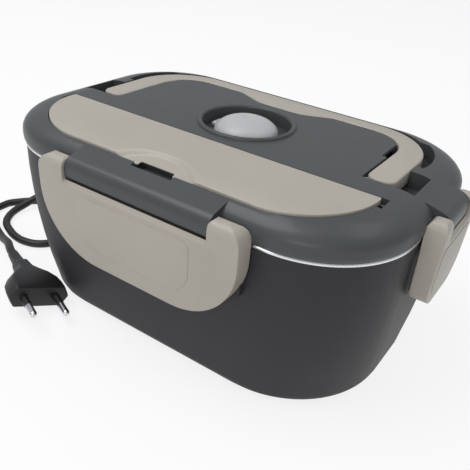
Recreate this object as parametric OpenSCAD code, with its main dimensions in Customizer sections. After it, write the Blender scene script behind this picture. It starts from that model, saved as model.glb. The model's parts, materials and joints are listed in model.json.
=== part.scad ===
// Electric lunch box: a heated housing, a steel food container and a latched lid
// with a cutlery cover, a carry handle and a steam vent. Millimetres, +Z up,
// origin at the middle of the footprint on the table.

/* [Rim and heights] */
// Length of the rim over its outer edge
rim_l = 228; // [215:1:245]
// Width of the rim over its outer edge
rim_w = 151; // [146:1:165]
// Corner radius of the rim
rim_r = 49; // [46:0.5:52]
// Height of the housing's top edge above the table
rim_z = 91; // [86:1:100]
// Height of the lid above the container's flange
lid_h = 15.5; // [14.5:0.5:18]

/* [Housing] */
// Wall of the outer housing
housing_wall = 2.4; // [2:0.2:3]
// How far each side draws in between the rim and the base
side_belly = 6.4; // [4:0.2:8]
// Corner radius at the base
base_r = 54.7; // [52:0.1:56]
// Radius of the edge under the base
edge_r = 6.7; // [5:0.1:8]
// Thickness of the housing's floor
housing_floor = 3.6; // [3.4:0.2:4.4]
// Length of the opening that the base cover closes
cover_open_l = 180; // [170:1:184]
// Width of the opening that the base cover closes
cover_open_w = 104; // [98:1:108]
// Corner radius of that opening
cover_open_r = 38; // [30:1:42]
// Width of the step that the base cover seats on
cover_step = 4; // [3:0.5:5]
// Thickness of the base cover
cover_plate_t = 2; // [1.6:0.2:2.4]
// How far the latch catches stand out from the rim's edge
catch_out = 2.5; // [2:0.1:2.6]
// Height of the bottom of the latch catches
catch_z = 64; // [62:1:68]
// Height of the latch catches
catch_h = 23; // [20:1:24]
// Height of the groove across a catch
groove_h = 4.4; // [4.2:0.1:5]

/* [Feet and screws] */
// How far the feet hold the base off the table
foot_proud = 1; // [0.8:0.1:2]
// Radius of a foot
foot_r = 7; // [5:0.5:8]
// Distance between feet along the length
foot_dx = 112; // [90:1:120]
// Distance between feet along the width
foot_dy = 76; // [60:1:78]
// Distance between base screws along the length
screw_dx = 148; // [140:1:150]
// Distance between base screws along the width
screw_dy = 60; // [50:1:62]
// Radius of a screw's shank
screw_r = 1.5; // [1.2:0.1:2]

/* [Liner and heater] */
// Wall of the inner liner
liner_wall = 1.6; // [1.4:0.1:2.2]
// Inset of the liner's wall from the rim's edge
liner_inset = 6.5; // [5.5:0.1:8]
// Height of the top of the liner's floor
liner_floor_z = 26; // [24:1:32]
// Length of the heating plate
plate_l = 124; // [110:1:126]
// Width of the heating plate
plate_w = 68; // [56:1:72]
// Thickness of the heating plate
plate_t = 2; // [1.5:0.1:2.2]
// Length of the heater block
heater_l = 64; // [50:1:80]
// Width of the heater block
heater_w = 30; // [24:1:36]
// Thickness of the heater block
heater_t = 5; // [4:0.5:6]

/* [Container] */
// Sheet thickness of the steel container
steel_t = 0.8; // [0.6:0.1:1.2]
// Thickness of the container's rolled flange
flange_t = 1.5; // [1.2:0.1:2]
// Gap between the container and the liner
container_gap = 1.2; // [0.8:0.1:2]
// Draft of the container's wall from top to bottom
container_draft = 3; // [2:0.5:4]
// Radius between the container's wall and its floor
container_edge = 9; // [6:0.5:12]

/* [Lid] */
// Wall of the lid shell
lid_wall = 2; // [1.8:0.1:2.4]
// How far the lid's side swells past the rim's edge
lid_swell = 0.8; // [0.2:0.1:1]
// Width of the rounded shoulder, seen from above
shoulder_w = 20; // [16:0.5:22]
// Height of the rounded shoulder
shoulder_h = 10; // [8:0.5:10.5]
// Width of the gasket
gasket_w = 5; // [4:0.2:5.4]
// Thickness of the gasket
gasket_t = 3; // [2.6:0.1:3]
// How far the lid's inner panel reaches below the flange's top
panel_drop = 5; // [4:0.5:8]

/* [Cutlery cover] */
// Length of the cover
cover_l = 190; // [180:1:194]
// Distance from the middle of the lid to the cover's front edge
cover_front = 68.5; // [66:0.5:70]
// Distance from the middle of the lid to the cover's back edge
cover_back = 26; // [24:0.5:27]
// Radius of the cover's front corners
cover_r = 39; // [34:0.5:41]
// Thickness of the cover
cover_t = 2.6; // [2.2:0.1:3]
// Gap round the cover
cover_gap = 0.5; // [0.3:0.1:0.8]
// Height that the cover stands above the lid's surface
cover_proud = 0.8; // [0.2:0.1:1.2]
// Width of the finger scoop in the cover's front edge
scoop_w = 46; // [36:1:54]
// Depth of the finger scoop
scoop_d = 11; // [6:0.5:12]
// Depth of the cutlery compartment below the lid's top
compartment_depth = 16; // [14:0.5:16.5]
// Radius of the hinge barrel along the cover's back edge
barrel_r = 3.2; // [2.8:0.1:3.4]

/* [Handle] */
// Half width of the handle over its arms
handle_x = 93; // [90:0.5:94]
// Distance from the middle of the lid to the back of the handle
handle_back = 64; // [60:0.5:65]
// Distance from the middle of the lid to the front ends of the arms
handle_front = 10.5; // [8:0.5:11.5]
// Outer corner radius of the handle
handle_r = 36; // [28:1:40]
// Width of an arm
arm_w = 14.5; // [12:0.5:16]
// Width of the bar across the back
bar_w = 12; // [10:0.5:14]
// How much wider the grip is in its middle
grip_w = 8.5; // [4:0.5:10]
// Thickness of the handle
handle_t = 8; // [6:0.5:8]
// Gap round the handle
handle_gap = 0.8; // [0.5:0.1:1.2]
// Distance from the middle of the lid to the handle's pivots
handle_pivot_y = 5.5; // [5:0.5:6.5]
// Radius of the handle's pins
handle_pin_r = 1.75; // [1.4:0.05:2]
// Reach of the finger pocket outside each arm
finger_pocket = 11; // [8:0.5:12]

/* [Vent] */
// Distance of the vent behind the middle of the lid
vent_y = 8.5; // [6:0.5:10]
// Radius of the dish round the vent
dish_r = 24.5; // [22:0.5:26]
// Depth of the dish below the lid's top
dish_depth = 6.5; // [5:0.5:7]
// Radius of the silicone dome
dome_r = 18; // [15:0.5:19]
// Height of the dome above the dish's floor
dome_h = 10; // [8:0.5:11]
// Radius of the steam hole
steam_r = 3; // [2:0.25:4]

/* [Latches] */
// Half length of the ledge over the front latch
ledge_long = 43; // [36:0.5:46]
// Half length of the ledge over the end latch
ledge_short = 14.6; // [12:0.2:16]
// How far the ledges stand out from the rim's edge
ledge_out = 9; // [8:0.1:9.4]
// Width of the arms of the front latch
horn_long = 16.5; // [14:0.5:18]
// Width of the arms of the end latch
horn_short = 9; // [7:0.2:10]
// Distance of the latch pivots outside the rim's edge
pivot_out = 6; // [5.8:0.1:6.2]
// Radius of the rounded top of a latch arm
horn_r = 4.9; // [4.4:0.1:5]
// Height of the latch pivots above the flange's top
pivot_up = 4.5; // [4.3:0.1:4.8]
// Height of the bottom of the front latch
latch_z_long = 49; // [46:1:54]
// Height of the bottom of the end latch
latch_z_short = 54; // [50:1:58]
// Distance of the end latch behind the middle of the right end
end_latch_y = 4.5; // [0:0.5:4.5]
// Wall of the latches
latch_wall = 2.6; // [2.2:0.1:3]
// Radius of the latch pins
pin_r = 1.5; // [1.2:0.1:1.8]
// Length of a latch pin
pin_l = 12; // [9:0.5:14]
// Gap between a latch's nose and its catch
nose_gap = 0.25; // [0.2:0.05:0.5]

/* [Fits] */
// Radial clearance of a turning pin in its bore
running_fit = 0.05; // [0.02:0.01:0.1]
// Gap between pieces that slide past or drop into each other
drop_fit = 0.2; // [0.15:0.05:0.4]

/* [Power inlet and cord] */
// Distance of the inlet behind the middle of the left end
inlet_y = 4; // [0:0.5:4]
// Height of the inlet's middle
inlet_z = 15; // [14:0.5:15.5]
// Width of the inlet's socket
inlet_w = 18; // [16:0.5:20]
// Height of the inlet's socket
inlet_h = 9.6; // [9:0.2:11]
// Wall of the inlet
inlet_wall = 1.6; // [1.2:0.1:2]
// Depth of the socket
inlet_depth = 14; // [12:0.5:16]
// Diameter of the cord
cord_d = 5.2; // [4.6:0.1:5.4]
// Length of the tapered strain relief on the connector
relief_l = 22; // [20:1:30]
// Mean radius of the coil's outer turn
coil_r = 34; // [32:0.5:36]
// Turns in the coil
coil_turns = 2.75; // [2.75:1:3.75]

/* [Hidden] */
$fn = 64;
eps = 0.01;

// Where the round corners of every rim-shaped piece have their centres
core_x = rim_l / 2 - rim_r;
core_y = rim_w / 2 - rim_r;
flange_z = rim_z + flange_t;
lid_top = flange_z + lid_h;
base_z = foot_proud;
side_z = base_z + edge_r;
pivot_z = flange_z + pivot_up;

charcoal = [0.27, 0.27, 0.28];
taupe = [0.69, 0.66, 0.62];
steel = [0.8, 0.81, 0.82];
black = [0.1, 0.1, 0.1];

// Outlines and sweeps

// Points on an arc round c
function arc(c, r, a0, a1, n) =
    [for (i = [0:n]) c + r * [cos(a0 + (a1 - a0) * i / n), sin(a0 + (a1 - a0) * i / n)]];

// Points on a quarter ellipse with its middle at c, from its side to its top
function quarter(c, a, b, n) = [for (i = [0:n]) c + [a * cos(90 * i / n), b * sin(90 * i / n)]];

// Carries a profile round the rim. The profile's first number is measured outwards
// from the corner centres, so rim_r minus an inset puts it that far inside the rim.
module rim_sweep(profile) {
    for (sx = [0, 1], sy = [0, 1])
        mirror([sx, 0, 0]) mirror([0, sy, 0]) translate([core_x, core_y, 0])
            rotate_extrude(angle = 90) polygon(profile);
    for (s = [0, 1]) {
        mirror([s, 0, 0]) translate([core_x, core_y, 0]) rotate([90, 0, 0])
            linear_extrude(2 * core_y) polygon(profile);
        mirror([0, s, 0]) translate([-core_x, core_y, 0]) rotate([90, 0, 90])
            linear_extrude(2 * core_x) polygon(profile);
    }
}

// The block inside the corner centres of a rim sweep
module core_block(z0, z1) {
    translate([-core_x, -core_y, z0]) cube([2 * core_x, 2 * core_y, z1 - z0]);
}

module rounded_rect(l, w, r) {
    square([l, w - 2 * r], center = true);
    square([l - 2 * r, w], center = true);
    for (x = [-1, 1], y = [-1, 1]) translate([x * (l / 2 - r), y * (w / 2 - r)]) circle(r);
}

module rounded_plate(l, w, r, t) {
    linear_extrude(t) rounded_rect(l, w, r);
}

// A straight pin along X from x0
module pin_x(x0, length, r) {
    translate([x0, 0, 0]) rotate([0, 90, 0]) cylinder(h = length, r = r);
}

// The latches stand out at the front and the right end only. This puts the middle of
// the lunch box and its latches over the origin.
middle_shift = (pivot_out + horn_r - lid_swell) / 2;
module placed() {
    translate([-middle_shift, middle_shift, 0]) children();
}

// Puts a piece drawn for the front side of the lunch box on side 0, the front, or on
// side 1, the right end. side_out is the half size of the rim on that side.
side_turn = [0, 90];
side_out = [rim_w / 2, rim_l / 2];
side_shift = [0, end_latch_y];
side_ledge = [ledge_long, ledge_short];
side_horn = [horn_long, horn_short];
latch_low = [latch_z_long, latch_z_short];
module on_side(i) {
    rotate([0, 0, side_turn[i]]) translate([side_shift[i], -side_out[i], 0]) children();
}

// Housing

// How far the side has drawn in at height z
function belly(z) = side_belly * pow((rim_z - z) / (rim_z - side_z), 2);
function belly_r(z) = rim_r + (base_r - rim_r) * pow((rim_z - z) / (rim_z - side_z), 2);
ring_steps = 8;

// One ring of points round a rounded rectangle
function rect_ring(hx, hy, r, z, n = ring_steps) = [for (q = [0:3], i = [0:n])
    let (a = 90 * (q + i / n), sx = (q == 0 || q == 3) ? 1 : -1, sy = q < 2 ? 1 : -1)
    [sx * (hx - r) + r * cos(a), sy * (hy - r) + r * sin(a), z]];
// A ring that follows the housing's side at height z, set in by inset
function side_ring(z, inset) = let (d = inset + belly(z))
    rect_ring(rim_l / 2 - d, rim_w / 2 - d, belly_r(z) - inset, z);
// A ring of the rounded edge under the base, a degrees round it
function edge_ring(a) = let (d = rim_gap + belly(side_z) + edge_r * (1 - cos(a)))
    rect_ring(rim_l / 2 - d, rim_w / 2 - d, belly_r(side_z) - edge_r * (1 - cos(a)),
        side_z - edge_r * sin(a));

rim_gap = 0.4;
seat_w = 1.2;
seat_h = 1.5;
side_steps = 6;
inner_floor_z = base_z + housing_floor;
housing_rings = concat(
    [for (i = [0:4]) edge_ring(90 - 18 * i)],
    [for (i = [0:side_steps]) side_ring(side_z + (rim_z - side_z) * i / side_steps, rim_gap)],
    [side_ring(rim_z, rim_gap + seat_w), side_ring(rim_z - seat_h, rim_gap + seat_w)],
    [for (i = [0:side_steps]) side_ring(rim_z - seat_h
        - (rim_z - seat_h - inner_floor_z - edge_r / 2) * i / side_steps, rim_gap + housing_wall)],
    [rect_ring(rim_l / 2 - side_belly - housing_wall - edge_r, rim_w / 2 - side_belly
        - housing_wall - edge_r, base_r - edge_r, inner_floor_z)],
    [rect_ring(cover_open_l / 2 - cover_step, cover_open_w / 2 - cover_step,
        cover_open_r - cover_step, inner_floor_z),
     rect_ring(cover_open_l / 2 - cover_step, cover_open_w / 2 - cover_step,
        cover_open_r - cover_step, base_z + cover_plate_t),
     rect_ring(cover_open_l / 2, cover_open_w / 2, cover_open_r, base_z + cover_plate_t),
     rect_ring(cover_open_l / 2, cover_open_w / 2, cover_open_r, base_z)]);

// Joins closed rings into one skin. With loop the last ring meets the first, and
// otherwise flat caps close both ends.
module loft(rings, loop = false) {
    m = len(rings);
    n = len(rings[0]);
    bands = loop ? m - 1 : m - 2;
    skin = [for (j = [0:bands], i = [0:n - 1])
        let (a = j * n + i, b = j * n + (i + 1) % n, k = (j + 1) % m, c = k * n + i,
            d = k * n + (i + 1) % n)
        each [[a, d, b], [a, c, d]]];
    caps = loop ? [] : [[for (i = [0:n - 1]) i], [for (i = [n - 1:-1:0]) (m - 1) * n + i]];
    polyhedron([for (r = rings) each r], concat(skin, caps));
}

module latch_catch(half) {
    rotate([90, 0, 0]) difference() {
        translate([0, 0, -catch_out]) linear_extrude(2 * catch_out)
            translate([0, catch_z + catch_h / 2]) rounded_rect(2 * half, catch_h, 3);
        translate([-half, catch_z + catch_h / 2 - groove_h / 2, catch_out - 1.4])
            cube([2 * half, groove_h, 3]);
    }
}

module outer_housing() color(charcoal) difference() {
    union() {
        loft(housing_rings, loop = true);
        for (i = [0, 1]) on_side(i) latch_catch(side_ledge[i] + side_horn[i] - 2);
        // Flat seat behind the inlet's bezel
        translate([bezel_x, inlet_y, inlet_z]) rotate([0, 90, 0]) linear_extrude(3) bezel_outline(1);
    }
    translate([bezel_x - 10, inlet_y, inlet_z]) rotate([0, 90, 0])
        linear_extrude(10) bezel_outline(drop_fit);
    translate([bezel_x - 1, inlet_y, inlet_z]) rotate([0, 90, 0])
        linear_extrude(20) rounded_rect(inlet_h + 2 * inlet_wall + 2 * drop_fit,
            inlet_w + 2 * inlet_wall + 2 * drop_fit, 3);
    translate([lamp_x - 5, inlet_y - lamp_dy, inlet_z]) rotate([0, 90, 0])
        cylinder(h = 20, r = lamp_r + drop_fit / 2);
}

cover_fit = drop_fit * 2;
air_slot_w = 3;
air_slot_l = 32;
air_slot_pitch = 9;
module base_cover() color(charcoal) difference() {
    translate([0, 0, base_z]) rounded_plate(cover_open_l - cover_fit, cover_open_w - cover_fit,
        cover_open_r - drop_fit, cover_plate_t);
    for (x = [-1, 1], y = [-1, 1]) {
        translate([x * screw_dx / 2, y * screw_dy / 2, base_z - 1])
            cylinder(h = cover_plate_t + 2, r = screw_r + drop_fit);
        translate([x * screw_dx / 2, y * screw_dy / 2, base_z - 1])
            cylinder(h = 1 + head_h, r = head_r + drop_fit);
        translate([x * foot_dx / 2, y * foot_dy / 2, base_z - 1]) cylinder(h = 1 + foot_in, r = foot_r + 0.1);
    }
    for (i = [-3:3]) translate([i * air_slot_pitch - air_slot_w / 2, -air_slot_l / 2, base_z - 1])
        cube([air_slot_w, air_slot_l, cover_plate_t + 2]);
}

foot_in = 0.8;
module rubber_feet() color(black) for (x = [-1, 1], y = [-1, 1])
    translate([x * foot_dx / 2, y * foot_dy / 2, 0]) rotate_extrude()
        polygon([[0, 0], [foot_r - 0.8, 0], [foot_r, 0.8], [foot_r, base_z + foot_in],
            [0, base_z + foot_in]]);

head_r = 2.8;
head_h = 1.1;
screw_l = 14;
cross_l = 4;
cross_w = 0.8;
cross_deep = 0.6;
module base_screws() color(steel) for (x = [-1, 1], y = [-1, 1])
    translate([x * screw_dx / 2, y * screw_dy / 2, base_z]) {
        difference() {
            cylinder(h = head_h, r = head_r);
            for (a = [0, 90]) rotate([0, 0, a]) translate([-cross_l / 2, -cross_w / 2, -1])
                cube([cross_l, cross_w, cross_deep + 1]);
        }
        cylinder(h = screw_l, r = screw_r - 0.05);
    }

// Liner and heating parts

liner_flange_r = rim_r - rim_gap - seat_w - drop_fit;
liner_r = rim_r - liner_inset;
liner_edge = container_edge + container_gap;
liner_profile = concat(
    [[0, liner_floor_z - liner_wall]],
    arc([liner_r - container_draft - liner_edge, liner_floor_z - liner_wall + liner_edge],
        liner_edge, -90, 0, 6),
    [[liner_r, rim_z - seat_h], [liner_flange_r, rim_z - seat_h], [liner_flange_r, rim_z],
     [liner_r - liner_wall, rim_z]],
    arc([liner_r - container_draft - liner_edge, liner_floor_z - liner_wall + liner_edge],
        liner_edge - liner_wall, 0, -90, 6),
    [[0, liner_floor_z]]);

plate_r = 20;
plate_lip = 5;
post_r = 4;
module inner_liner() color([0.33, 0.33, 0.34]) difference() {
    union() {
        rim_sweep(liner_profile);
        core_block(liner_floor_z - liner_wall, liner_floor_z);
        for (x = [-1, 1], y = [-1, 1])
            translate([x * screw_dx / 2, y * screw_dy / 2, base_z + cover_plate_t])
                cylinder(h = liner_floor_z - base_z - cover_plate_t - eps, r = post_r);
    }
    translate([0, 0, liner_floor_z - 5]) rounded_plate(plate_l - 2 * plate_lip,
        plate_w - 2 * plate_lip, plate_r - plate_lip, 10);
    for (x = [-1, 1], y = [-1, 1])
        translate([x * screw_dx / 2, y * screw_dy / 2, 0]) cylinder(h = base_z + screw_l + 1, r = screw_r);
}

boss_t = liner_wall + 1;
boss_z = liner_floor_z - boss_t;
module heating_plate() color(steel) difference() {
    union() {
        translate([0, 0, liner_floor_z]) rounded_plate(plate_l, plate_w, plate_r, plate_t);
        translate([0, 0, boss_z]) rounded_plate(plate_l - 2 * plate_lip - 2 * drop_fit,
            plate_w - 2 * plate_lip - 2 * drop_fit, plate_r - plate_lip - drop_fit, boss_t + eps);
    }
    for (x = [-1, 1]) translate([x * bracket_dx / 2, 0, boss_z - 1]) cylinder(h = 3.6, r = 1.25);
}

bracket_dx = 84;
bracket_t = 1.2;
heater_z = boss_z - heater_t;
module ptc_heater() color([0.85, 0.83, 0.78]) difference() {
    translate([-heater_l / 2, -heater_w / 2, heater_z]) cube([heater_l, heater_w, heater_t]);
    for (i = [-3:3], s = [-1, 1])
        translate([i * heater_l / 8 - 1, s * heater_w / 2 - 1, heater_z - 1]) cube([2, 2, heater_t + 2]);
}

strap_w = 14;
strap_foot = 5;
strap_hole_r = 1.5;
module heater_bracket() color([0.7, 0.71, 0.72]) difference() {
    union() {
        translate([-heater_l / 2 - bracket_t, -strap_w / 2, heater_z - bracket_t])
            cube([heater_l + 2 * bracket_t, strap_w, bracket_t]);
        for (s = [-1, 1]) translate([s * (heater_l / 2 + bracket_t / 2) - bracket_t / 2, -strap_w / 2,
            heater_z - bracket_t]) cube([bracket_t, strap_w, heater_t + bracket_t]);
        for (s = [0, 1]) mirror([s, 0, 0]) translate([heater_l / 2, -strap_w / 2, boss_z - bracket_t])
            cube([bracket_dx / 2 + strap_foot - heater_l / 2, strap_w, bracket_t]);
    }
    for (x = [-1, 1]) translate([x * bracket_dx / 2, 0, boss_z - 3]) cylinder(h = 4, r = strap_hole_r);
}

strap_screw_r = 1.2;
strap_screw_l = 3.4;
strap_head_r = 2.6;
strap_head_h = 1.4;
module bracket_screws() color(steel) for (x = [-1, 1])
    translate([x * bracket_dx / 2, 0, boss_z - bracket_t]) {
        cylinder(h = strap_screw_l, r = strap_screw_r);
        translate([0, 0, -strap_head_h]) cylinder(h = strap_head_h, r = strap_head_r);
    }

stat_x = -20;
fuse_r = 2.2;
fuse_x = 4;
fuse_y = -20.5;
fuse_z = boss_z - fuse_r;
fuse_lead = 4;
module thermostat() color([0.62, 0.6, 0.55]) translate([stat_x, fuse_y, 0]) {
    translate([0, 0, boss_z - 1.5]) cylinder(h = 1.5, r = 5);
    translate([0, 0, boss_z - 5.5]) cylinder(h = 4, r = 4.4);
    for (s = [-1, 1]) translate([s * 2.4 - 1, -0.4, boss_z - 9.5]) cube([2, 0.8, 4]);
}

module thermal_fuse() color(steel) translate([fuse_x, fuse_y, fuse_z]) {
    pin_x(0, 12, fuse_r);
    pin_x(-fuse_lead, 12 + 2 * fuse_lead, 0.5);
}

// Power inlet

// Plane that the bezel seats on
bezel_x = -rim_l / 2 + rim_gap + belly(inlet_z) + 0.4;
bezel_t = 2;
inlet_x = bezel_x - bezel_t;
module bezel_outline(g) {
    rounded_rect(inlet_h + 5 + 2 * g, inlet_w + 9 + 2 * g, 4 + g);
}
lamp_r = 2.5;
lamp_dy = 20;
lamp_x = -rim_l / 2 + rim_gap + belly(inlet_z);
module power_inlet() color(black) translate([inlet_x, inlet_y, inlet_z]) rotate([0, 90, 0]) difference() {
    union() {
        linear_extrude(bezel_t) bezel_outline(0);
        linear_extrude(inlet_depth + 2) rounded_rect(inlet_h + 2 * inlet_wall, inlet_w + 2 * inlet_wall, 2.8);
    }
    translate([0, 0, -2]) linear_extrude(inlet_depth + 2) rounded_rect(inlet_h, inlet_w, 2.4);
    for (s = [-1, 1]) translate([0, s * contact_dy / 2, inlet_depth - 1]) cylinder(h = 5, r = contact_r);
}

contact_dy = 8.6;
contact_r = 1.2;
contact_in = 5;
contact_l = 18;
module inlet_pins() color(steel) for (s = [-1, 1])
    translate([inlet_x + contact_in, inlet_y + s * contact_dy / 2, inlet_z])
        pin_x(0, contact_l, contact_r - 0.02);

module indicator_lamp() color([0.75, 0.12, 0.1])
    translate([lamp_x, inlet_y - lamp_dy, inlet_z]) rotate([0, 90, 0]) {
        cylinder(h = 7, r = lamp_r);
        translate([0, 0, -1.2]) cylinder(h = 1.2, r1 = lamp_r - 0.8, r2 = lamp_r);
    }

// Leads from the inlet's contacts to the thermostat and the heater, and through the fuse
lead_r = 1;
tab_z = boss_z - 7.5;
heater_mid = boss_z - heater_t / 2;
contact_end = inlet_x + contact_in + contact_l;
lead_lift = 12.5;
leads = [
    [[contact_end, inlet_y - contact_dy / 2, inlet_z], [contact_end + 5, inlet_y - contact_dy / 2, inlet_z],
     [-72, -5, lead_lift], [-58, -12, lead_lift], [-42, -18, lead_lift], [-34, fuse_y, 14],
     [stat_x - 6, fuse_y, tab_z], [stat_x - 3.4, fuse_y, tab_z]],
    [[contact_end, inlet_y + contact_dy / 2, inlet_z], [contact_end + 5, inlet_y + contact_dy / 2, inlet_z],
     [-72, 9.5, lead_lift], [-56, 10, lead_lift], [-46, 10, 15], [-40, 10, 20],
     [-heater_l / 2 - 3, 10, heater_mid], [-heater_l / 2, 10, heater_mid]],
    [[stat_x + 3.4, fuse_y, tab_z], [stat_x + 7, fuse_y, tab_z], [fuse_x - 12, fuse_y, 18.5],
     [fuse_x - 8, fuse_y, fuse_z], [fuse_x - fuse_lead, fuse_y, fuse_z]],
    [[fuse_x + 12 + fuse_lead, fuse_y, fuse_z], [fuse_x + 15 + fuse_lead, fuse_y, fuse_z],
     [28, fuse_y + 2, heater_mid], [28.5, -heater_w / 2 - 1.5, heater_mid], [28.5, -heater_w / 2, heater_mid]]];
module lead_wires() color([0.75, 0.1, 0.1]) for (route = leads) loft(tube_rings(route, lead_r, 8));

// Steel container

steel_r = rim_r - liner_inset - liner_wall - container_gap;
container_z = liner_floor_z + plate_t + 0.4;
container_profile = concat(
    [[0, container_z]],
    arc([steel_r - container_draft - container_edge, container_z + container_edge],
        container_edge, -90, 0, 6),
    [[steel_r, rim_z], [rim_r - 0.4, rim_z], [rim_r, rim_z + 0.4], [rim_r, flange_z - 0.4],
     [rim_r - 0.4, flange_z], [steel_r - steel_t - 1, flange_z], [steel_r - steel_t, flange_z - 1]],
    arc([steel_r - container_draft - container_edge, container_z + container_edge],
        container_edge - steel_t, 0, -90, 6),
    [[0, container_z + steel_t]]);
module steel_container() color(steel) union() {
    rim_sweep(container_profile);
    core_block(container_z, container_z + steel_t);
}

// Lid

lid_side_z = flange_z + lid_h - shoulder_h;
lid_outer = concat(
    [[0, flange_z], [rim_r - 0.4, flange_z], [rim_r + lid_swell * 0.8, flange_z + 1.6],
     [rim_r + lid_swell, flange_z + 3]],
    quarter([rim_r + lid_swell - shoulder_w, lid_side_z], shoulder_w, shoulder_h, 10),
    [[0, lid_top]]);
lid_inner = concat(
    [[0, flange_z - 1], [rim_r - lid_wall - 0.4, flange_z - 1], [rim_r + lid_swell - lid_wall, flange_z + 3]],
    quarter([rim_r + lid_swell - shoulder_w, lid_side_z], shoulder_w - lid_wall, shoulder_h - lid_wall, 8),
    [[0, lid_top - lid_wall]]);

// Height of the lid's outer surface at a distance inside the rim's edge
function shoulder_z(inset) =
    lid_side_z + shoulder_h * sqrt(1 - pow(1 - (lid_swell + inset) / shoulder_w, 2));

module lid_solid() {
    rim_sweep(lid_outer);
    core_block(flange_z, lid_top);
}

// Outline of the cutlery cover, grown by g: square at the hinge, round at the front
module cover_outline(g) intersection() {
    hx = cover_l / 2;
    translate([-hx - g, -cover_front - g]) square([2 * (hx + g), cover_front - cover_back + 2 * g]);
    union() {
        translate([-hx + cover_r, -cover_front - g]) square([2 * (hx - cover_r), cover_front]);
        translate([-hx - g, -cover_front + cover_r]) square([2 * (hx + g), cover_front]);
        for (s = [-1, 1]) translate([s * (hx - cover_r), -cover_front + cover_r]) circle(cover_r + g);
    }
}

// Outline of the handle, grown by g
grip_half = 14;
grip_ramp = 17;
module handle_outline(g) {
    inner_x = handle_x - arm_w - g;
    inner_y = handle_back - bar_w - g;
    inner_r = handle_r - arm_w - g;
    difference() {
        union() {
            translate([-handle_x - g, -handle_front - g])
                square([2 * (handle_x + g), handle_front + handle_back - handle_r + g]);
            translate([-handle_x + handle_r, handle_back - handle_r - 1])
                square([2 * (handle_x - handle_r), handle_r + 1 + g]);
            for (s = [-1, 1]) translate([s * (handle_x - handle_r), handle_back - handle_r])
                circle(handle_r + g);
        }
        translate([-inner_x, -handle_front - 2 * g - 1])
            square([2 * inner_x, handle_front + 2 * g + 1 + inner_y - inner_r]);
        translate([-inner_x + inner_r, inner_y - inner_r - 1])
            square([2 * (inner_x - inner_r), inner_r + 1]);
        for (s = [-1, 1]) translate([s * (inner_x - inner_r), inner_y - inner_r]) circle(inner_r);
    }
    polygon([[-grip_half - grip_ramp - g, handle_back - bar_w / 2], [-grip_half - grip_ramp - g, inner_y],
        [-grip_half - g, handle_back - bar_w - grip_w - g], [grip_half + g, handle_back - bar_w - grip_w - g],
        [grip_half + grip_ramp + g, inner_y], [grip_half + grip_ramp + g, handle_back - bar_w / 2]]);
}

// Finger pockets beside the arms and round the outer corners, grown by g
pocket_back = 12;
corner_pocket = 5;
module pocket_outline(g) for (s = [0, 1]) mirror([s, 0]) {
    translate([handle_x - arm_w / 2, -handle_front - handle_gap - g])
        square([arm_w / 2 + finger_pocket + g, handle_front + handle_gap + pocket_back + 2 * g]);
    intersection() {
        translate([handle_x - handle_r, handle_back - handle_r]) circle(handle_r + corner_pocket + g);
        translate([handle_x - handle_r / 2, pocket_back + 8 - g])
            square([handle_r, handle_back - 10 - pocket_back - 8 + 2 * g]);
    }
}

// Room below the channel for the rounded ends of the arms to turn in, grown by g
module turning_outline(g) for (s = [0, 1]) mirror([s, 0])
    translate([handle_x - arm_w - handle_gap - g, -handle_front - handle_gap - g])
        square([arm_w + 2 * handle_gap + 2 * g, 2 * (arm_end_r + handle_gap) + 2 * g]);

well_wall = 1.6;
handle_z = lid_top - handle_t;
handle_pivot_z = lid_top - handle_t / 2;
arm_end_r = handle_front - handle_pivot_y;
channel_z = handle_z - handle_gap;
turning_z = handle_pivot_z - arm_end_r - handle_gap;
comp_z = lid_top - compartment_depth;
// Width of the shelf that the cover rests on
comp_in = 10;
shelf_z = lid_top - 8;
hinge_y = cover_back + barrel_r;
hinge_z = lid_top + cover_proud - barrel_r;
hinge_block = barrel_r + cover_gap + well_wall;
dish_z = lid_top - dish_depth;
seat_gap = 0.2;
slot_w = 24;
slot_z = lid_top - 6.2;

// Ledge over a latch, drawn for the front side. Its top leaves the rounded shoulder
// and rolls over a broad nose to the gap above the latch.
ledge_root = 6;
ledge_nose_r = 6;
ledge_heel_r = 1.5;
ledge_embed = 1.5;
module ledge(half) {
    root_z = shoulder_z(ledge_root);
    nose = [ledge_nose_r - ledge_out, pivot_z];
    translate([-half, 0, 0]) rotate([90, 0, 90]) linear_extrude(2 * half)
        polygon(concat([[ledge_root, root_z - 0.1], [ledge_root, root_z - ledge_embed],
            [ledge_embed - lid_swell, lid_side_z], [ledge_embed - lid_swell, flange_z + ledge_heel_r]],
            arc([ledge_heel_r - ledge_out, flange_z + ledge_heel_r], ledge_heel_r, -90, -180, 4),
            arc(nose, ledge_nose_r, 180, 104, 8)));
}

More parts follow.
